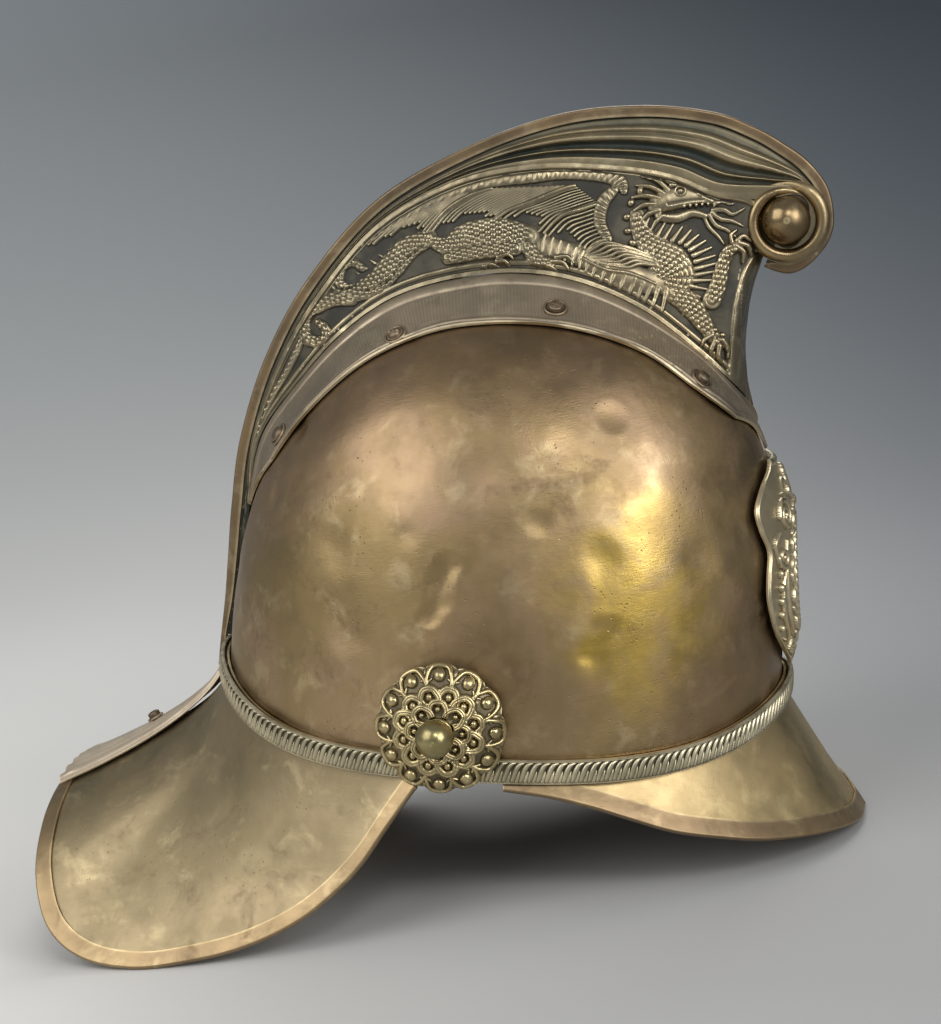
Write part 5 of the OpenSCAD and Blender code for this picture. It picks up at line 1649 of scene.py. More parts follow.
@dataclass
class Comb:
    """One half of the comb: crest ribs, embossed panel, flange on the skull, and the scroll with its ball."""

    side: Side
    stations: int = 960
    columns: int = 180
    sheet: float = 0.9
    flange_off: float = 1.25
    seat_gap: float = 0.3
    sag: float = 3.0
    crest_depth: float = 4.6
    crest_width: float = 4.8
    half_gap: float = 0.15
    leg_clearance: float = 0.2
    scroll: tuple[float, float] = (109.7, 191.2)
    scroll_entry: float = 125.0
    scroll_start: int = 10
    ring_r: float = 14.2
    ball_d: float = 19.5
    panel_side: float = 9.0
    panel_step: int = 4
    flange_stations: int = 1500
    flange_columns: int = 64
    rib_stations: int = 520
    rib_columns: int = 110

    @property
    def binding_thickness(self) -> float:
        """Thickness that the crest binding leaves clear of the halves' webs."""
        return self.crest_width / 2 - self.half_gap - self.sheet - self.leg_clearance

    @property
    def settled_foot(self) -> Array:
        """The panel's foot at each station, lifted onto the flange."""
        return SKULL.settled(np.array(PANEL_FOOT), self.flange_off + self.seat_gap)

    def bulged(self, s: Array) -> Array:
        """Stations of the panel by shares s of the way down, stations first.

        Args:
            s: Shares of the way down.

        Returns:
            Points, stations by shares by three.
        """
        top, foot, bulge = np.array(PANEL_TOP), self.settled_foot, np.array(PANEL_BULGE, float)
        s = np.asarray(s)[None, :, None]
        g = top[:, None] + s * (foot - top)[:, None]
        g[..., 0] += (4 * s * (1 - s))[..., 0] * bulge[:, None]
        return g

    def flange_at(self, s: Array) -> Array:
        """Stations of the flange by shares s of its width, stations first.

        Args:
            s: Shares of the width.

        Returns:
            Points, stations by shares by three.
        """
        foot = self.settled_foot
        edge = np.array(FLANGE_EDGE, float)
        edge = np.stack([edge[:, 0], edge[:, 1], SKULL.top(edge[:, 0], edge[:, 1], self.flange_off)], -1)
        s = np.asarray(s)[None, :, None]
        g = foot[:, None] + s * (edge - foot)[:, None]
        g[..., 2] -= (self.sag * s * (1 - s))[..., 0]
        held = SKULL.settled(g, self.flange_off + 0.1)
        return np.where(s == 1, np.broadcast_to(edge[:, None], g.shape), held)

    def rail(self, k: float, s: float) -> Array:
        """The flange's point at station k and share s of its width."""
        return spline(self.flange_at(np.array([s]))[:, 0], np.array([k]))[0]

    def panel(self) -> Shape:
        """The embossed side panel, rows running forward and columns down.

        Returns:
            The shape, on the wearer's left.
        """
        t = np.linspace(0, len(PANEL_TOP) - 1, self.stations)
        s = np.linspace(0, 1, self.columns)
        g = spline(self.bulged(s), t)
        n = grid_normals(g)
        u, v = DRAWING.project(g * np.array([1.0, -1.0, 1.0]))
        art = Relief(u, v)
        Dragon().draw(art)
        h = np.maximum(art.heights(), 0.0)
        deep = np.linalg.norm(g[:, -1] - g[:, 0], axis=1)[:, None]
        down, up = s[None, :] * deep, (1 - s[None, :]) * deep
        border = 1.1 * (smooth_step(2.6, 1.6, down) + smooth_step(2.6, 1.6, up))
        bead = 0.9 * half_round((up - 4.4) / 1.3)
        h = np.maximum(h * smooth_step(2.4, 4.0, down) * smooth_step(1.5, 4.0, up), np.maximum(border, bead))
        inside = np.interp(v, [252, 258, 266, 278, 292, 306, 320, 336, 356, 378],
                           [756, 751, 746, 740.6, 736.5, 733.6, 732, 730.8, 729.3, 728])
        middle = np.interp(v, [252, 258, 264, 278, 294, 308, 322, 336, 350, 370, 392],
                           [765, 761, 758.6, 753, 749, 745.7, 743.5, 743, 743.3, 744.5, 746])
        lip = smooth_step(-1.2, 1.0, u - inside) * smooth_step(246, 250, v)
        line = hump(u - middle, 0.0, 1.1) + 0.8 * hump(u - middle, 3.2, 1.0)
        arch = half_round((u - (inside + middle) / 2) / (0.6 * (middle - inside)))
        h = h * (1 - lip) + lip * (0.75 + 0.55 * arch - 0.45 * line)
        ground = 0.07 * ripple(g, 31, 5.0)
        fade = smooth_step(0, 8, deep)
        face = g + n * ((h + ground - 0.55) * fade)[..., None]
        shape = Shape()
        shape.surface(face, relief=h + 1.2 * lip + 0.9 * np.maximum(border, bead))
        coarse = slice(None, None, self.panel_step)
        shape.surface((g - n * self.sheet)[coarse, coarse], flip=True)
        return shape

    def flange(self) -> Shape:
        """The flange that lies on the skull: fine hatching and a double bead along its edge.

        Returns:
            The shape, on the wearer's left.
        """
        t = np.linspace(0, len(FLANGE_EDGE) - 1, self.flange_stations)
        s = np.linspace(0, 1, self.flange_columns)
        g = spline(self.flange_at(s), t)
        g = SKULL.settled(g, self.flange_off)
        n = grid_normals(g)
        middle = g[:, self.flange_columns // 2]
        run = np.cumsum(np.concatenate([[0.0], np.linalg.norm(np.diff(middle, axis=0), axis=1)]))[:, None]
        wide = np.linalg.norm(g[:, -1] - g[:, 0], axis=1)[:, None]
        w = (1 - s)[None] * wide + 0.35 * ripple(g, 43, 22)
        down = s[None] * wide
        roll = 0.75 * half_round((down - 2.9) / 2.9)
        hatched = smooth_step(4.4, 5.4, w) * smooth_step(6.0, 7.0, down)
        hatch = 0.16 * (0.5 + 0.5 * np.sin(TAU * run / 1.35)) * hatched
        beads = 0.55 * (half_round((w - 0.8) / 0.8) + half_round((w - 3.0) / 1.0))
        cove = -0.25 * hump(w, 5.0, 0.8)
        h = np.maximum(hatch + beads + cove, roll) * smooth_step(0.5, 5.0, wide)
        beat = 0.18 * ripple(g, 41, 30) - 0.18
        face = g + n * (h + beat * smooth_step(0, 6, w))[..., None]
        shape = Shape()
        shape.sheet(face, g - n * self.sheet, relief=0.5 + h)
        return shape

    def rib_grid(self) -> Array:
        """Points of the ribs between the crest binding and the panel, rows along the crest.

        Returns:
            Points, rows by columns by three.
        """
        profile = np.array([(0, 1.05), (0.012, 2.6), (0.05, 3.3), (0.125, 3.7), (0.14, 4.4), (0.165, 5.8),
                            (0.2, 6.8), (0.24, 7.1), (0.275, 6.8), (0.3, 6.5), (0.33, 7.0), (0.385, 7.75),
                            (0.44, 7.7), (0.475, 7.0), (0.5, 5.9), (0.55, 5.1), (0.6, 5.3), (0.628, 6.2),
                            (0.645, 7.8), (0.67, 8.6), (0.7, 8.2), (0.715, 7.0), (0.76, 6.2), (0.81, 6.6),
                            (0.835, 8.0), (0.85, 8.5), (0.92, 8.6), (1, 8.55)])
        plain = np.array([(0, 1.05), (0.14, 3.6), (0.32, 6), (0.5, 7.4), (0.7, 8.2), (0.86, 8.5), (1, 8.55)])
        plain = np.interp(profile[:, 0], plain[:, 0], plain[:, 1])
        crest = np.array([(x, 0.0, z) for x, z in CREST])
        tail = np.array([(x, 0.0, z) for x, z, _ in CREST_TAIL])
        shares = [q[2] for q in CREST_TAIL]
        centre = np.array([self.scroll[0], 0.0, self.scroll[1]])
        web = self.half_gap + self.sheet
        start = self.binding_thickness + 0.5
        rows = []
        for k in range(1, 4):
            c, leg = tail[k], shares[k] * self.crest_depth + 0.6
            foot = float(SKULL.at(np.array(math.pi), np.array(c[2]), 0.45)[0])
            room = foot - c[0] - leg - 0.6
            row = [(c[0] + start, web, c[2])] + [(c[0] + leg + p * room, web, c[2]) for p in profile[:, 0]]
            rows.append(np.array(row + [(foot, web, c[2])]))
        for i, c in enumerate(crest):
            if i < self.scroll_start:
                rib_foot = np.array(PANEL_TOP[i])
            else:
                q = c - centre
                a = math.radians(self.scroll_entry)
                d = np.array([math.cos(a), 0.0, math.sin(a)]) if i == self.scroll_start else unit(q)
                reach = min(self.ring_r - 0.2, float(np.linalg.norm(q)) - self.crest_depth - 2.5)
                rib_foot = centre + d * reach + [0.0, self.panel_side, 0.0]
            foot = np.array([rib_foot[0], 0.0, rib_foot[2]])
            d = unit(foot - c)
            path = np.concatenate([tail, crest])
            j = i + len(tail)
            v = path[min(j + 1, len(path) - 1)] - path[j - 1]
            t = unit(np.array([v[0], 0.0, v[2]]))
            leg = (self.crest_depth + 0.6) / float(d @ np.array([t[2], 0.0, -t[0]]))
            room = max(float(np.linalg.norm(foot - c)) - leg, 1.5)
            k = min(room / 14, 1.0)
            side = rib_foot[1] / self.panel_side
            y = np.maximum(web, (profile[:, 1] * k + plain * (1 - k)) * side)
            below = unit(self.settled_foot[i] - np.array(PANEL_TOP[i])) if i < self.scroll_start else d
            body = c + d * (leg + profile[:, :1] * room) + np.stack([0 * y, y, 0 * y], -1)
            last = rib_foot + below * 3.0 - [0.0, (1 - 8.55 / self.panel_side) * rib_foot[1], 0.0]
            rows.append(np.concatenate([[c + d * start + [0.0, web, 0.0]], body, [last]]))
        rows = np.stack(rows)
        g = spline(rows, np.linspace(0, len(rows) - 1, self.rib_stations))
        g[..., 1] = np.maximum(g[..., 1], web)
        return g

    def ribs(self) -> Shape:
        """The ribs as one sheet.

        Returns:
            The shape, on the wearer's left.
        """
        g = self.rib_grid()
        fine = spline(np.swapaxes(g, 0, 1), np.linspace(0, g.shape[1] - 1, self.rib_columns))
        fine = np.swapaxes(fine, 0, 1)
        y = fine[..., 1]
        level = np.interp(np.linspace(0, 1, y.shape[1]), [0, 0.14, 0.4, 1], [1.5, 5.0, 7.0, 8.3])
        shape = Shape()
        shape.surface(fine, relief=np.clip(0.55 + (y - level) / 2.2, -1, 1.2))
        shape.surface(fine[:: self.panel_step, :: self.panel_step] - [0, self.sheet, 0], flip=True)
        return shape

    def scroll_boss(self) -> Shape:
        """The scroll's end: a roll that winds inward round a ball in a dark groove.

        Returns:
            The shape, on the wearer's left.
        """
        r, ring = self.ball_d / 2, self.ring_r
        ball = [(r * math.cos(q), r * math.sin(q)) for q in np.radians(np.arange(90, -1, -5))]
        bed = [(r + 0.1, -0.9), (r + 0.5, -1.2), (ring - 1.0, -0.8), (ring + 0.9, -1.0), (ring + 1.2, -1.8),
               (ring + 0.6, -2.6)]
        centre = np.array([self.scroll[0], self.panel_side, self.scroll[1]])
        shape = Shape()
        shape.turned(np.array(ball + bed), centre, np.array([0.0, 1.0, 0.0]), 96,
                     np.array([0.85] * len(ball) + [-0.4] * len(bed)))
        a = np.linspace(0, 1, 150)
        turn = np.radians(112 - 405 * a)
        reach = ring + 0.2 - 2.6 * smooth_step(0.3, 1.0, a)
        lift = 2.6 * smooth_step(0.0, 0.2, a) - 2.9
        path = centre + np.stack([reach * np.cos(turn), lift, reach * np.sin(turn)], -1)
        radius = np.interp(a, [0, 0.15, 0.5, 0.8, 0.93, 1.0], [1.2, 2.8, 2.9, 2.3, 1.4, 0.4])
        shape.tube(path, radius, 20, up=np.array([0.0, 1.0, 0.0]), relief=1.0)
        return shape

    def make(self) -> None:
        """Builds the half's four pieces."""
        word = self.side.word
        node = (f"comb_{word}",)
        parts = {"panel": (self.panel(), COMB_BRASS), "flange": (self.flange(), FLANGE_BRASS),
                 "ribs": (self.ribs(), RIB_BRASS), "scroll": (self.scroll_boss(), SCROLL_BRASS)}
        for name, (shape, finish) in parts.items():
            piece = shape.mirrored(self.side).build(f"comb_{name}_{word}", FINISHES.of(finish))
            Fitting("comb_brass", node).fit(piece)


@dataclass
class CrestBinding:
    """The strip folded over the crest, from the nape to under the scroll."""

    depth: float = 4.6
    width: float = 4.8
    thickness: float = 1.15
    stations: int = 620
    eased_from: int = 540
    easing: int = 260

    def make(self) -> None:
        """Builds the strip."""
        tail = [(x, s * self.depth, z) for x, z, s in CREST_TAIL]
        path = np.array(tail + [(x, self.depth, z) for x, z in CREST])
        line = spline(path, np.linspace(0, len(path) - 1, self.stations))
        last = self.eased_from
        for _ in range(self.easing):
            line[last:-1] = (line[last - 1:-2] + 2 * line[last:-1] + line[last + 1:]) / 4
        t = unit(np.gradient(np.stack([line[:, 0], 0 * line[:, 0], line[:, 2]], -1), axis=0))
        inward = np.stack([-t[:, 2], 0 * t[:, 0], t[:, 0]], -1)
        a = np.radians(np.linspace(-90, 90, 17))
        fold = [(-1.0, -1.0), (-0.7, -1.0), (-0.45, -1.0)]
        fold += [(-0.26 * (1 - math.cos(q) ** 0.8) if abs(math.cos(q)) > 1e-6 else -0.26,
                  math.copysign(abs(math.sin(q)) ** 0.75, q)) for q in a]
        fold += [(-0.45, 1.0), (-0.7, 1.0), (-1.0, 1.0)]
        beat = 0.1 * np.abs(ripple(line * [1.0, 0.0, 1.0], 51, 17))
        leg = line[:, 1] * np.interp(np.arange(len(line)), [0, 582, 604, 614, 619], [1, 1, 0.85, 0.55, 0.2])
        narrow = np.interp(np.arange(len(line)), [0, 604, 614, 619], [1, 1, 0.9, 0.62])
        rows = []
        for x, y in fold:
            q = np.stack([line[:, 0], y * narrow * (self.width / 2 - beat * (abs(x) < 0.9)), line[:, 2]], -1)
            rows.append(q + (x * leg)[:, None] * inward)
        g = np.stack(rows, 1)
        shape = Shape()
        shape.sheet(g, g - grid_normals(g) * self.thickness)
        piece = shape.build("crest_strip", FINISHES.of(CREST_BRASS))
        Fitting("comb_brass", ("comb_crest_binding",)).fit(piece)


# Fasteners, tongue, rosettes, plate and lining


@dataclass(frozen=True)
class Perch:
    """A flat place to build on: its middle, the directions along and across it, and its outward normal."""

    middle: Array
    along: Array
    across: Array
    out: Array

    def at(self, a: Array | float, b: Array | float, h: Array | float) -> Array:
        """Points a along, b across and h outward."""
        a, b, h = np.broadcast_arrays(np.asarray(a, float), np.asarray(b, float), np.asarray(h, float))
        return self.middle + a[..., None] * self.along + b[..., None] * self.across + h[..., None] * self.out

    def lathe(self, profile: Sequence[Sequence[float]], segments: int = 40) -> Array:
        """Grid of a turned shape, rows along its radius and height pairs.

        Args:
            profile: Radius and height pairs, from the top outward and down.
            segments: Corners round it.

        Returns:
            The grid of points, closed round its columns.
        """
        p = np.asarray(profile, float)
        t = np.linspace(0, TAU, segments, endpoint=False)
        turn = -1.0 if float(np.cross(self.along, self.across) @ self.out) > 0 else 1.0
        return self.at(p[:, :1] * np.cos(t), -turn * p[:, :1] * np.sin(t), p[:, 1:])


class Head(Enum):
    """The kinds of head that the comb's fasteners have."""

    DOMED = "domed"
    BOSS = "boss"
    DISC = "disc"
    POST = "post"


@dataclass
class CombFasteners:
    """The odd fasteners of long repair that hold one comb half's flange, each a different shape."""

    comb: Comb
    places: tuple[tuple[float, float, Head], ...] = (
        (1.32, 0.65, Head.DOMED), (3.92, 0.78, Head.BOSS), (6.57, 0.62, Head.DISC), (9.14, 0.78, Head.POST))
    head_gap: float = 0.45
    radius: float = 3.4
    shank: float = 2.0
    shank_depth: float = 5.5
    ring_radius: float = 4.3
    ring_thick: float = 0.6

    def perch(self, k: float, s: float) -> Perch:
        """The flat place on the flange at station k and share s.

        Args:
            k: Station along the comb.
            s: Share of the flange's width.

        Returns:
            The place.
        """
        middle = self.comb.rail(k, s)
        along = unit(self.comb.rail(k + 0.1, s) - self.comb.rail(k - 0.1, s))
        down = unit(self.comb.rail(k, s + 0.08) - self.comb.rail(k, s - 0.08))
        out = unit(np.cross(along, down))
        return Perch(middle, along, np.cross(out, along), out)

    def heads(self) -> dict[Head, list[tuple[float, float]]]:
        """Each kind of head's turned profile.

        Returns:
            Radius and height pairs for each kind.
        """
        g, r = self.head_gap, self.radius
        arc = np.radians(np.arange(0, 91, 10))
        domed = [(r * math.sin(a), g + 0.3 + 1.9 * math.cos(a)) for a in arc] + [(r, g)]
        boss = [(2.5 * math.sin(a), g + 0.9 + 1.2 * math.cos(a)) for a in arc]
        boss += [(2.7, g + 0.5), (r, g + 0.4), (r, g)]
        disc = [(0.01, g + 1.5), (2.6, g + 1.5), (2.9, g + 1.3), (3.0, g + 0.5), (3.4, g + 0.5), (r, g)]
        post = [(0.01, g + 2.1), (2.2, g + 2.2), (2.6, g + 1.9), (2.7, g + 0.4), (r, g + 0.4), (r, g)]
        return {Head.DOMED: domed, Head.BOSS: boss, Head.DISC: disc, Head.POST: post}

    def make(self) -> None:
        """Builds the fasteners of the half."""
        shape = Shape()
        for k, s, head in self.places:
            perch, profile = self.perch(k, s), self.heads()[head]
            stem = [(self.shank, self.head_gap), (self.shank, -self.shank_depth), (0.01, -self.shank_depth)]
            grid = perch.lathe(profile + stem)
            rise = np.interp(np.arange(len(grid)), [0, len(profile) - 1, len(grid) - 1], [0.9, 0.2, 0.0])
            shape.surface(grid, wrap=True, relief=np.repeat(rise[:, None], grid.shape[1], 1))
            height = max(h for _, h in profile)
            if head is Head.DISC:
                edge = np.array([-2.5, 2.5])
                shape.tube(perch.at(edge, 0.35 * edge, height + 0.05), 0.42, 6, up=perch.out)
            elif head is Head.POST:
                centre = perch.lathe([(1.0, height + 0.06), (1.15, height - 0.05)], 16)
                shape.surface(centre, wrap=True)
            elif head is Head.BOSS:
                for a in (-1.5, 0.0, 1.5):
                    spot = Perch(perch.at(a, 0.25 * a, height - 0.55), perch.along, perch.across, perch.out)
                    shape.surface(spot.lathe([(0.01, 0.55), (0.4, 0.45), (0.72, 0.0)], 12), wrap=True)
            ring = np.linspace(0, TAU, 40, endpoint=False)
            path = perch.at(self.ring_radius * np.cos(ring), self.ring_radius * np.sin(ring), 0.3)
            shape.tube(path, self.ring_thick, 8, closed=True, up=perch.out)
        word = self.comb.side.word
        Fitting("fitting_brass", (f"comb_bolts_{word}",)).fit(
            shape.mirrored(self.comb.side).build(f"comb_fasteners_{word}", FINISHES.of(IRON_BRONZE)))


@dataclass
class CombTail:
    """The fluted tongue that runs from the comb down over the rear peak."""

    start: float = 0.13
    stop: float = 0.985
    half_top: float = 8.0
    half_end: float = 27.0
    spread: float = 1.2
    droop: float = 2.2
    sheet: float = 0.9
    stud_at: float = 0.66
    rows: int = 220
    columns: int = 260
    step: float = 0.01
    flutes: tuple[tuple[float, float], ...] = (
        (0, 4.25), (0.06, 4.35), (0.12, 4.75), (0.18, 4.7), (0.235, 4.25), (0.29, 3.75), (0.34, 3.8),
        (0.41, 4.35), (0.49, 4.65), (0.57, 4.5), (0.63, 3.9), (0.68, 3.5), (0.73, 3.65), (0.8, 4.15),
        (0.87, 4.25), (0.93, 3.6), (0.955, 2.8), (0.97, 2.75), (0.985, 2.6), (1, 1.9))

    def frame(self, t: Array) -> tuple[Array, Array]:
        """Points of the rear peak's middle line, and the directions straight up from them.

        Args:
            t: Shares of the way to the peak's rim.

        Returns:
            The points and the directions.
        """
        t = np.atleast_1d(np.asarray(t, float))
        ahead = REAR_PEAK.point(np.zeros_like(t), np.minimum(t + self.step, 1))
        e = unit(ahead - REAR_PEAK.point(np.zeros_like(t), t - self.step))
        return REAR_PEAK.point(np.zeros_like(t), t), np.stack([e[..., 2], 0 * e[..., 0], -e[..., 0]], -1)

    def make(self) -> None:
        """Builds the tongue and the stud that holds it."""
        t = np.linspace(self.start, self.stop, self.rows)
        s = np.linspace(-1, 1, self.columns)
        here, up = self.frame(t)
        half = self.half_top + (self.half_end - self.half_top) * t**self.spread
        knots = np.array(self.flutes)
        rise = np.interp(np.abs(s), knots[:, 0], knots[:, 1])
        rise = np.convolve(np.pad(rise, 3, mode="edge"), np.ones(5) / 5, "same")[3:-3]
        roll = 0.35 * hump((1 - t) * 62, 3.2, 1.2)[:, None] * (np.abs(s) < 0.93)
        g = here[:, None] + up[:, None] * (rise[None] + roll)[..., None]
        g[..., 1] += s[None] * half[:, None]
        g[..., 2] -= self.droop * s[None] ** 2 * t[:, None]
        n = grid_normals(g)
        if float((n * up[:, None]).sum(-1).mean()) < 0:
            g, n = g[:, ::-1], -n[:, ::-1]
        g = g + n * (0.14 * ripple(g, 61, 22) - 0.12)[..., None]
        shape = Shape()
        shape.sheet(g, g - n * self.sheet, relief=(rise[None] - 3.4) / 1.2 + roll)
        Fitting("comb_brass", ("comb_tail",)).fit(shape.build("comb_tongue", FINISHES.of(TONGUE_BRASS)))
        self.stud()

    def stud(self) -> None:
        """The stud on the tongue: a turned knob on a stepped seat."""
        here, up = self.frame(self.stud_at)
        out = up[0]
        perch = Perch(here[0], np.array([0.0, 1.0, 0.0]), np.cross(out, [0.0, 1.0, 0.0]), out)
        arc = np.radians(np.arange(0, 91, 10))
        knob = [(2.6 * math.sin(a), 7.5 + 0.9 * math.cos(a)) for a in arc]
        knob += [(2.62, 6.1), (3.3, 6.0), (3.6, 5.7), (3.6, 5.1), (3.4, 5.0), (2.0, 5.0), (2.0, -5.6),
                 (0.01, -5.6)]
        shape = Shape()
        grid = perch.lathe(knob)
        rise = np.linspace(1, 0, len(knob))[:, None]
        shape.surface(grid, wrap=True, relief=np.repeat(rise, grid.shape[1], 1))
        Fitting("fitting_brass", ("tail_stud",)).fit(shape.build("tongue_stud", FINISHES.of(IRON_BRONZE)))


@dataclass
class Rosette:
    """A cast rosette over the ear: a lobed rim, a ring of strap loops and beads round the ball stud."""

    side: Side
    x: float = -12.9815
    z: float = 4.0
    rim_y: float = 102.0
    radius: float = 24.5
    dome: float = 8.0
    hub: float = 3.5
    lobes: int = 12
    sheet: float = 1.0
    ball_radius: float = 7.0
    ball_y: float = 120.0
    rows: int = 110
    columns: int = 600

    def spot(self, r: float, turn: float) -> tuple[float, float]:
        """A place of the drawing at a radius and a turn in lobes."""
        a = TAU * turn / self.lobes
        return r * math.cos(a), r * math.sin(a)

    def strap(self, art: Relief, turn: float, foot: float, top: float, span: float, width: float,
              level: float) -> None:
        """One arch of the interlaced strapwork, with a cut line down its middle.

        Args:
            art: The relief that it is carved in.
            turn: The arch's middle, in lobes.
            foot: Radius of its feet.
            top: Radius of its crown.
            span: Lobes between its feet.
            width: Half the strap's width.
            level: Height that it lies on.
        """
        knots = ((0.0, -0.62), (0.42, -0.52), (0.9, -0.26), (1.0, 0.0), (0.9, 0.26), (0.42, 0.52), (0.0, 0.62))
        path = [self.spot(foot + (top - foot) * rise, turn + span * q) for rise, q in knots]
        art.roll(path, (0.75 * width, width, 1.1 * width, width, 0.75 * width), 1.35, level, count=30)
        art.groove(path, 0.22, 0.34)

    def carve(self, art: Relief) -> None:
        """Draws the ornament.

        Args:
            art: The relief that it is carved in.
        """
        rng = np.random.default_rng(8)
        arch = ((17.6, -0.5), (20.0, -0.44), (23.2, -0.27), (23.9, 0.0), (23.2, 0.27), (20.0, 0.44),
                (17.6, 0.5))
        for k in range(self.lobes):
            j, tilt = rng.uniform(-0.05, 0.05), math.degrees(TAU * (k + 0.5) / self.lobes)
            wire = [self.spot(r, k + q + j) for r, q in arch]
            art.roll(wire, (0.75, 1.0, 0.75), 1.3, 0.5, count=26)
            art.dome(self.spot(20.6, k + j), 2.35, 2.35, 2.1, 0, 0.4)
            art.dome(self.spot(21.6, k + 0.5), 1.5, 0.8, 0.5, tilt, 0.25)
            art.roll([self.spot(18.6, k + 0.5), self.spot(16.2, k + 0.5)], (0.7, 0.55), 0.9, 0.6)
            for hand in (-1, 1):
                tip = self.spot(19.4, k + 0.5 + 0.2 * hand)
                art.roll([self.spot(18.2, k + 0.5), tip], (0.6, 0.35), 0.8, 0.5)
            self.strap(art, k + 0.5 + j, 10.8, 16.3, 1.0, 1.35, 0.4 + 0.4 * (k % 2))
            art.dome(self.spot(13.3, k + 0.5 + j), 1.3, 1.5, 1.5, 0, 0.45)
            art.dome(self.spot(15.3, k), 0.85, 0.85, 1.2, 0, 0.4)
        for k in range(8):
            j = rng.uniform(-0.08, 0.08)
            self.strap(art, 1.5 * k + j, 6.2, 11.4, 1.5, 1.2, 0.8 + 0.35 * (k % 2))
            art.dome(self.spot(8.7, 1.5 * k + j), 1.1, 1.1, 1.4, 0, 0.9)
            art.dome(self.spot(11.0, 1.5 * k + 0.75), 0.8, 0.8, 1.2, 0, 0.9)

    def make(self) -> None:
        """Builds the rosette."""
        t = -np.linspace(0, TAU, self.columns, endpoint=False)[None, :]
        wave = np.abs(np.cos(t * self.lobes / 2)) ** 0.7
        edge = self.radius - 1.5 * (1 - wave)
        f = np.linspace(0, 1, self.rows)[:, None]
        r = self.hub + (edge - self.hub) * f
        u, v = r * np.cos(t), r * np.sin(t)
        art = Relief(u, v)
        self.carve(art)
        h = np.maximum(art.heights(), 0)
        base = self.dome * np.maximum(1 - (r / self.radius) ** 2.4, 0) ** 0.7
        lift = (h - 0.25) * smooth_step(0, 0.03, 1 - f) * smooth_step(5.2, 6.4, r)
        flat = np.stack([self.x + u, self.rim_y + base, self.z + v], -1)
        n = grid_normals(flat, wrap=True)
        face = flat + n * lift[..., None] * np.array([0.6, 1.0, 0.6])
        face[..., 1] = np.maximum(face[..., 1], self.rim_y)
        back = np.stack([self.x + u * (1 - 0.6 / r), np.maximum(flat[..., 1] - self.sheet, self.rim_y - 0.6),
                         self.z + v * (1 - 0.6 / r)], -1)
        shape = Shape()
        shape.sheet(face, back, wrap=True, relief=h / 1.7)
        word = self.side.word
        Fitting("ornament_brass", (f"rosette_{word}",)).fit(
            shape.mirrored(self.side).build(f"rosette_{word}_cast", FINISHES.of(ORNAMENT_BRASS)))
        self.stud()

    def stud(self) -> None:
        """The ball stud through the rosette's middle."""
        r, y = self.ball_radius, self.ball_y
        ball = [(r * math.sin(a), y + r * math.cos(a)) for a in np.radians(np.arange(0, 156, 5))]
        ball[0] = (0.01, y + r)
        stem = [(2.95, 113.2), (3.05, 112.3), (4.6, 111.7), (5.3, 111.3), (5.5, 110.8), (5.4, 110.1),
                (3.0, 110.1), (3.0, 85.6), (0.01, 85.55)]
        shape = Shape()
        rise = [1.0] * len(ball) + [0.2, 0.1, 0.4, 0.6, 0.5, 0.2, 0.1, 0.1, 0.1]
        shape.turned(np.array(ball + stem), np.array([self.x, 0.0, self.z]), np.array([0.0, 1.0, 0.0]), 64,
                     np.array(rise))
        word = self.side.word
        Fitting("fitting_brass", (f"ball_stud_{word}",)).fit(
            shape.mirrored(self.side).build(f"ball_stud_{word}_turned", FINISHES.of(BALL_BRASS)))


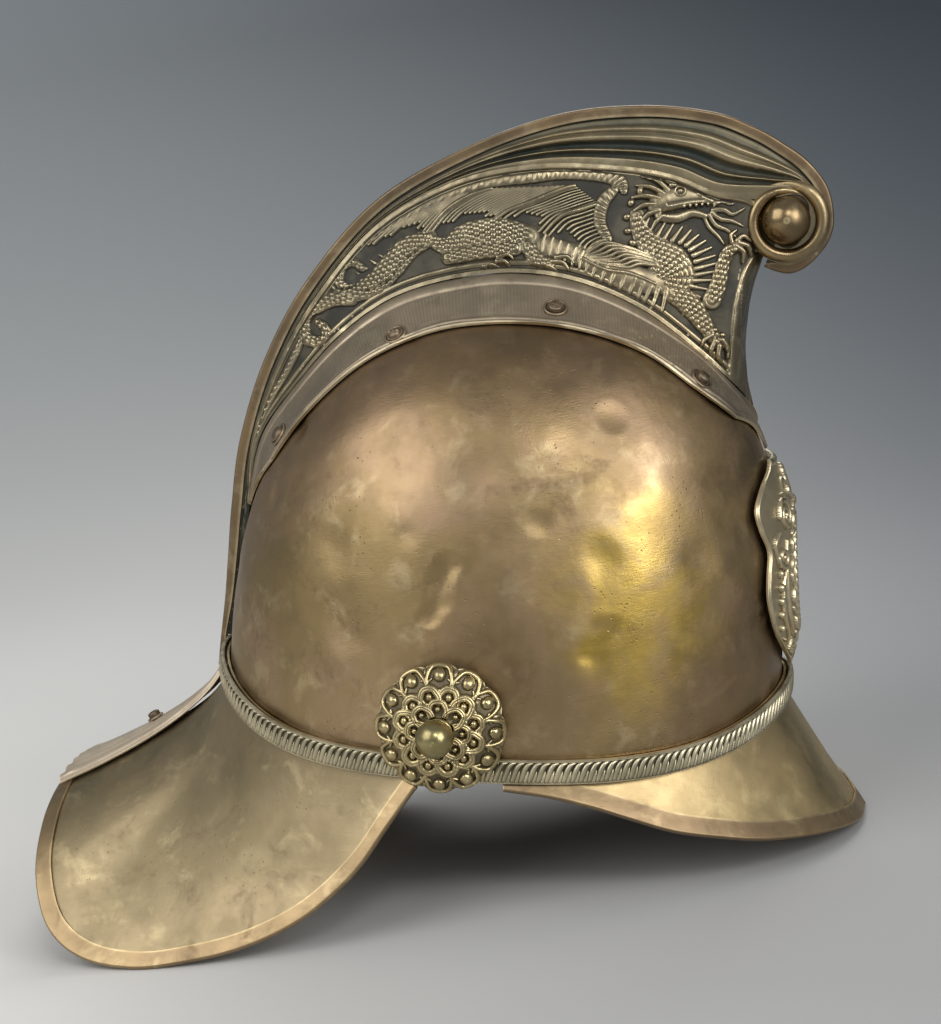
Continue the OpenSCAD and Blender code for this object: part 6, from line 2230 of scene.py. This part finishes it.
@dataclass
class FrontPlate:
    """The embossed plate on the brow: a cartouche of scrolls and beads round a bare oval field."""

    bottom: float = 12.5
    height: float = 85.0
    half_angle: float = 27.0
    widths: tuple[float, ...] = (0.42, 0.8, 1, 0.97, 0.86, 0.9, 0.92, 0.86, 0.74, 0.5, 0.18)
    off: float = 2.8
    swell: float = 3.0
    sheet: float = 0.9
    bare_oval: tuple[float, float, float] = (15.2, 20.5, 50.0)
    rows: int = 300
    columns: int = 300

    def carve(self, art: Relief) -> None:
        """Draws the ornament over places y across and z up.

        Args:
            art: The relief that it is carved in.
        """
        ring = [(18.5 * math.sin(a), 50 + 24 * math.cos(a)) for a in np.linspace(0, TAU, 25)]
        art.roll(ring, (1.3, 1.3), 1.3, 0.5, twist=44, count=110)
        wide = [(15.8 * math.sin(a), 50 + 21.2 * math.cos(a)) for a in np.linspace(0, TAU, 25)]
        art.roll(wide, (0.7, 0.7), 0.8, 0.5, count=90)
        for k in range(26):
            a = TAU * (k + 0.5) / 26
            x, z = 22.2 * math.sin(a), 50 + 28.0 * math.cos(a)
            art.dome((x, z), 3.0, 1.35, 1.25, math.degrees(-a) + (28 if k % 2 else -28), 0.4)
        scrolls = ((25.5, 76, 6.6, 1.9, 1), (31.5, 60, 4.2, 1.5, -1), (20, 21.5, 4.6, 1.6, 1))
        for hand in (-1, 1):
            for x0, z0, r0, turns, way in scrolls:
                a = np.linspace(0, TAU * turns, 44)
                r = r0 * (1 - 0.84 * a / a[-1])
                path = np.stack([hand * (x0 + r * np.cos(way * a)), z0 + r * np.sin(way * a)], -1)
                art.roll(path[::2], (1.25, 0.75), 1.4, 0.5, count=60)
                art.dome((hand * x0, z0), 1.2, 1.2, 1.5, 0, 0.6)
            for knots in (((9, 84), (16, 89), (24, 84.5)), ((33, 70), (37, 66), (36, 60)),
                          ((31, 54), (34, 46), (32, 36), (26, 27)), ((22, 15.5), (14, 17), (6, 20)),
                          ((27, 66), (30, 52), (28, 38), (21, 28))):
                art.roll([(hand * x, z) for x, z in knots], (0.6, 1.2, 0.6), 1.2, 0.45)
            for k in range(8):
                z = 54 - 5.4 * k
                x = 35.6 - 0.05 * (z - 45) ** 2 * 0.12 - (max(0, 30 - z) * 0.75)
                art.dome((hand * x, z), 1.75 - 0.08 * k, 1.75 - 0.08 * k, 1.7, 0, 0.5)
        for k in range(7):
            a = math.radians(-66 + 22 * k)
            art.roll([(2.5 * math.sin(a), 79 + 2.5 * math.cos(a)), (12 * math.sin(a), 79 + 13 * math.cos(a))],
                     (0.7, 2.1), 1.6, 0.5)
        art.dome((0, 79), 2.6, 2.6, 1.9, 0, 0.6)
        for k in range(3):
            art.dome((0, 21.5 - 3.2 * k), 2.2 - 0.45 * k, 1.9 - 0.35 * k, 1.4, 0, 0.5)

    def make(self) -> None:
        """Builds the plate."""
        v, s = np.meshgrid(np.linspace(0, 1, self.rows), np.linspace(-1, 1, self.columns), indexing="ij")
        width = self.half_angle * spline(np.array(self.widths), v * (len(self.widths) - 1))
        z = self.bottom + self.height * (1 - v)
        off = self.off + self.swell * (1 - s * s) * np.minimum(1, 6 * v * (1 - v))
        g = SKULL.at(np.radians(s * width), z, off)
        n = grid_normals(g)
        if float(n[..., 0].mean()) < 0:
            g, n, v, s = g[:, ::-1], -n[:, ::-1], v[:, ::-1], s[:, ::-1]
        art = Relief(g[..., 1], g[..., 2])
        self.carve(art)
        half = np.abs(g[:, 0, 1])[:, None]
        edge = np.minimum((1 - np.abs(s)) * half, np.minimum(v, 1 - v) * self.height)
        border = 1.15 * half_round((edge - 1.4) / 1.25)
        h = np.maximum(np.maximum(art.heights(), 0) * smooth_step(2.4, 3.2, edge), border)
        across, tall, middle = self.bare_oval
        oval = (g[..., 1] / across) ** 2 + ((g[..., 2] - middle) / tall) ** 2
        h = np.where(oval < 1, 0.55 * np.sqrt(np.clip(1 - oval, 0, 1)), h)
        ground = 0.06 * ripple(g, 71, 6.0)
        shape = Shape()
        face = g + n * ((h + ground - 0.3) * smooth_step(0, 0.5, edge))[..., None]
        shape.sheet(face, g - n * self.sheet, relief=np.where(oval < 1, 0.75, h / 1.5))
        Fitting("ornament_brass", ("front_plate",)).fit(shape.build("brow_plate", FINISHES.of(PLATE_BRASS)))


@dataclass
class Lining:
    """The leather head lining: a stitched sweatband, tongues gathered on a lace, and cork spacers."""

    head_length: float = 200.0
    head_width: float = 162.0
    band_height: float = 38.0
    leather: float = 2.0
    edge_drop: float = 4.4
    rise_over_edge: float = 3.0
    overlap: float = 8.0
    lace_height: float = 120.0
    lace_radius: float = 24.0
    lace_thick: float = 2.4
    gap: float = 0.3
    tongues: int = 8
    tongue_spread: float = 17.0
    waist: float = 0.25
    hem: float = 2.6
    spacer_places: tuple[float, ...] = (36, 64, 142, -36, -64, -142)
    spacer_heights: tuple[float, float] = (12.0, 27.0)
    spacer_half_angle: float = 5.0
    spacer_grid: int = 24
    stitches: int = 95
    strand_offset: float = 0.55
    strand_thick: float = 0.62

    def oval(self, a: float, b: float, phi: Array, z: Array) -> Array:
        """Points of an oval of half axes a and b."""
        x, y, z = np.broadcast_arrays(a * SKULL.plan_x(phi), b * SKULL.plan_y(phi), z)
        return np.stack([x, y, z], -1)

    def low(self, phi: Array) -> Array:
        """Height of the sweatband's lower edge."""
        return SKULL.band_z(phi) - self.edge_drop + self.rise_over_edge

    def sweatband(self) -> Shape:
        """The band, softly cockled, with a line of stitches along each edge.

        Returns:
            The band.
        """
        phi = np.linspace(0, TAU, 720, endpoint=False)[None, :]
        f = np.linspace(1, 0, 40)[:, None]
        a, b = self.head_length / 2, self.head_width / 2
        inner = self.oval(a, b, phi, self.low(phi) + f * self.band_height)
        out = unit(np.stack([inner[..., 0] / a**2, inner[..., 1] / b**2, 0 * inner[..., 0]], -1))
        cockle = 0.35 * ripple(inner, 81, 26) - 0.35
        up = f * self.band_height
        turned_edge = 0.35 * (hump(up, 0.97 * self.band_height, 1.2) + hump(up, 0.03 * self.band_height, 1.2))
        stitch = np.abs(np.sin(phi * self.stitches)) ** 0.6
        line = hump(up, 0.9 * self.band_height, 0.55) + hump(up, 0.1 * self.band_height, 0.55)
        skin = cockle + turned_edge + line * (0.55 * stitch - 0.35)
        face = inner - out * (skin - 0.1)[..., None]
        shape = Shape()
        shape.sheet(inner + out * self.leather, face, wrap=True, relief=line * stitch)
        return shape

    def tongue_point(self, phi: Array, t: Array, off: float) -> Array:
        """Points of a tongue at plan angles phi and shares t of its rise.

        Args:
            phi: Plan angles.
            t: Shares of the rise.
            off: How far inward.

        Returns:
            One point for each place.
        """
        w = 1 - np.cos(t * math.pi / 2)
        low = self.low(phi) + self.band_height - self.overlap
        start = self.oval(self.head_length / 2 - off, self.head_width / 2 - off, phi, low)
        reach = self.lace_radius + self.leather
        end = np.stack(np.broadcast_arrays(reach * np.cos(phi), reach * np.sin(phi), 0 * phi), -1)
        top = self.lace_height + self.leather / 2 - off
        q = start + (end - start) * w[..., None]
        q[..., 2] = low + (top - low) * np.sin(t * math.pi / 2)
        return q

    def tongue(self, k: int) -> Shape:
        """One tongue, with its rolled hem.

        Args:
            k: Its number, from 1.

        Returns:
            The tongue.
        """
        middle = math.radians(360 * (k - 0.5) / self.tongues)
        spread = math.radians(self.tongue_spread)
        t, j = np.meshgrid(np.linspace(1, 0, 70), np.linspace(-1, 1, 46), indexing="ij")
        s = j * (1 - self.waist * np.sin(np.pi * t))
        phi = middle + s * spread
        outer, inner = self.tongue_point(phi, t, self.gap), self.tongue_point(phi, t, self.gap + self.leather)
        n = unit(inner - outer)
        wave = 0.5 * ripple(outer, 90 + k, 24)
        wave = wave * smooth_step(0.03, 0.15, t) * smooth_step(0.02, 0.12, 1 - t)
        rub = 0.3 * hump(np.abs(j), 0.93, 0.05) * (0.4 + 0.6 * np.abs(np.sin(t * 90)))
        shape = Shape()
        shape.sheet(outer + n * wave[..., None], inner + n * (wave + rub - 0.2)[..., None], relief=rub)
        a = np.linspace(middle - spread + 0.02, middle + spread - 0.02, 26)
        rad = np.stack([np.cos(a), np.sin(a), 0 * a], -1)
        ring = self.lace_radius * rad + [0.0, 0.0, self.lace_height]
        bore, side = self.lace_thick / 2 + 0.5, np.linspace(0, TAU, 20, endpoint=False)
        crimp = 1 - 0.05 * np.abs(np.sin(np.linspace(0, 13 * math.pi, 26)))
        up = np.array([0.0, 0.0, 1.0])
        spokes = np.cos(side)[None, :, None] * rad[:, None] + np.sin(side)[None, :, None] * up
        hem = ring[:, None] + (self.hem * crimp)[:, None, None] * spokes
        shape.sheet((ring[:, None] + bore * spokes)[::-1], hem[::-1], wrap=True)
        return shape

    def lace(self) -> Shape:
        """The lace: three strands laid round each other, drawn through the hems and knotted in front.

        Returns:
            The lace.
        """
        shape = Shape()
        a = np.linspace(0, TAU, 900, endpoint=False)
        for k in range(3):
            turn = 54 * a + TAU * k / 3
            r = self.lace_radius + self.strand_offset * np.cos(turn)
            z = self.lace_height + self.strand_offset * np.sin(turn)
            path = np.stack([r * np.cos(a), r * np.sin(a), z], -1)
            shape.tube(path, self.strand_thick, 8, closed=True)
        t = np.linspace(0, TAU, 60, endpoint=False)
        for tilt in (0.0, 1.1, 2.2):
            x, y, z = 1.25 * np.sin(2 * t + tilt), 1.35 * np.cos(t + tilt), 1.25 * np.sin(t - tilt)
            loop = np.stack([x, y, z], -1) + [self.lace_radius, 0, self.lace_height]
            shape.tube(loop, 0.85, 8, closed=True)
        return shape

    def spacer(self, middle: float, seed: int) -> Shape:
        """One cork spacer, rounded at its edges.

        Args:
            middle: Plan angle of its middle, in degrees.
            seed: Choice of its roughness.

        Returns:
            The spacer.
        """
        room = self.leather + self.gap
        f = np.linspace(-1, 1, self.spacer_grid)
        low, high = self.spacer_heights
        phi, z = np.meshgrid(np.radians(middle + self.spacer_half_angle * f), np.linspace(high, low, len(f)))
        outer = SKULL.at(phi, z, -SKULL.sheet - self.gap - 0.15)
        inner = self.oval(self.head_length / 2 + room, self.head_width / 2 + room, phi, z)
        soft = 0.45 * np.maximum(f[:, None] ** 14, f[None, :] ** 14) + 0.12 * np.abs(ripple(outer, seed, 5))
        d = unit(outer - inner)
        shape = Shape()
        shape.sheet(outer - d * (soft + 0.08)[..., None], inner + d * (soft + 0.05)[..., None])
        return shape

    def make(self) -> None:
        """Builds the lining's pieces."""
        leather, cork = FINISHES.of(LINING_LEATHER), FINISHES.of(SPACER_CORK)
        Fitting("leather", ("sweatband",)).fit(self.sweatband().build("sweatband_leather", leather))
        for k in range(1, self.tongues + 1):
            Fitting("leather", (f"lining_tongue_{k}",)).fit(self.tongue(k).build(f"tongue_{k}", leather))
        Fitting("lace", ("lining_lace",)).fit(self.lace().build("crown_lace", FINISHES.of(LACE_COTTON)))
        for k, middle in enumerate(self.spacer_places, 1):
            piece = self.spacer(middle, 120 + k).build(f"spacer_{k}", cork)
            Fitting("cork", (f"lining_spacer_{k}",)).fit(piece)


# Floor, light and camera


@dataclass
class Studio:
    """Pale floor with a curved backdrop, both with painted shade, soft lamps and the camera."""

    drawing: SideDrawing = DRAWING
    lens: float = 73.45
    sensor: float = 36.0
    aim: tuple[float, float, float] = (0.0, 0.0, 0.15)
    surround: Colour = (0.80, 0.83, 0.86)
    surround_strength: float = 0.42

    def floor(self) -> None:
        """The floor, swept up into the backdrop behind the helmet."""
        bend = np.radians(np.arange(0, 91, 3))
        y = np.concatenate([np.linspace(-3.0, 0.6, 10), 0.9 + 3.2 * np.sin(bend), [4.1]])
        z = np.concatenate([np.zeros(10), 3.2 * (1 - np.cos(bend)), [7.0]])
        x = np.linspace(-5, 5, 12)
        n = len(y)
        points = [(a, b, c) for a in x for b, c in zip(y, z)]
        faces = [(i + j, i + n + j, i + n + j + 1, i + j + 1) for i in range(0, 11 * n, n)
                 for j in range(n - 1)]
        mesh = bpy.data.meshes.new("floor")
        mesh.from_pydata(points, [], faces)
        mesh.shade_smooth()
        mesh.materials.append(FINISHES.of(FLOOR_PAINT))
        floor = bpy.data.objects.new("floor", mesh)
        bpy.context.scene.collection.objects.link(floor)
        floor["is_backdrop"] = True

    def lamp(self, name: str, place: Sequence[float], size: float, power: float, tall: float = 1.0) -> None:
        """A soft lamp that faces the helmet.

        Args:
            name: The lamp's name.
            place: Where it stands, in metres.
            size: Its width, in metres.
            power: Its power, in watts.
            tall: Its height, in widths.
        """
        data = bpy.data.lights.new(name, "AREA")
        data.shape, data.size, data.size_y, data.energy = "RECTANGLE", size, size * tall, power
        lamp = bpy.data.objects.new(name, data)
        lamp.location = Vector(place)
        lamp.rotation_euler = (Vector(self.aim) - Vector(place)).to_track_quat("-Z", "Y").to_euler()
        bpy.context.scene.collection.objects.link(lamp)

    def world(self) -> None:
        """An even grey surround."""
        world = bpy.data.worlds.new("surround")
        world.use_nodes = True
        background = world.node_tree.nodes["Background"]
        background.inputs["Color"].default_value = (*self.surround, 1.0)
        background.inputs["Strength"].default_value = self.surround_strength
        bpy.context.scene.world = world

    def camera(self) -> None:
        """The camera, at the photograph's viewing angle."""
        eye, right, up, ahead = self.drawing.axes()
        data = bpy.data.cameras.new("camera")
        data.sensor_fit, data.sensor_width, data.lens = "HORIZONTAL", self.sensor, self.lens
        cam = bpy.data.objects.new("camera", data)
        turn = Matrix(np.stack([STANCE.turn(right), STANCE.turn(up), -STANCE.turn(ahead)], 1).tolist())
        cam.matrix_world = Matrix.Translation(Vector(STANCE.place(eye))) @ turn.to_4x4()
        bpy.context.scene.collection.objects.link(cam)
        bpy.context.scene.camera = cam

    def make(self) -> None:
        """Sets the studio up."""
        self.floor()
        self.world()
        self.lamp("key", (-1.6, -1.8, 2.0), 2.2, 42)
        self.lamp("fill", (2.1, -1.7, 1.1), 1.6, 33)
        self.lamp("spark", (0.7, -1.7, 1.4), 0.45, 8)
        self.lamp("strip", (1.45, -1.3, 0.4), 0.22, 4.5, 5.0)
        self.lamp("back", (0.2, 1.8, 1.9), 1.4, 20)
        self.camera()
        bpy.context.scene.view_settings.view_transform = "Standard"


def corners() -> list[list[float]]:
    """The shown object's lowest and highest corner, as plain lists."""
    return [list(c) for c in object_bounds()]


@dataclass(frozen=True)
class Hardware:
    """The small turned and cut fittings that keep their plain shapes, sizes in metres."""

    nodes: tuple[str, ...] = ("peak_rivets", "comb_nuts", "tail_nut", "rosette_bush", "stud_washer",
                              "stud_nut", "strap_lug", "front_plate_nuts")
    weld: float = 0.00001
    broken: float = 0.00022
    segments: int = 2
    angle: float = 35.0

    def make(self) -> None:
        """Gives each fitting slightly broken edges and its finish."""
        for name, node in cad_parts.items():
            if not name.startswith(self.nodes):
                continue
            node.data.materials.clear()
            node.data.materials.append(FINISHES.of(FITTING_BRASS))
            weld = node.modifiers.new("weld", "WELD")
            weld.merge_threshold = self.weld
            broken = node.modifiers.new("broken edges", "BEVEL")
            broken.width, broken.segments, broken.limit_method = self.broken, self.segments, "ANGLE"
            broken.angle_limit = math.radians(self.angle)
            log.info("%s: kept, with broken edges", name)


def main() -> None:
    """Builds the helmet's pieces in order, then the studio."""
    logging.basicConfig(level=logging.INFO, format="%(message)s")
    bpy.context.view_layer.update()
    Hardware().make()
    Skull().make()
    for peak in (FRONT_PEAK, REAR_PEAK):
        peak.make()
    for band in (ChainBand(End.FRONT, -92.5, 92.5), ChainBand(End.REAR, 98.5, 261.5)):
        band.make()
    for side in Side:
        comb = Comb(side)
        comb.make()
        CombFasteners(comb).make()
        Rosette(side).make()
    CrestBinding().make()
    CombTail().make()
    FrontPlate().make()
    Lining().make()
    Studio().make()


if __name__ == "__main__":
    main()
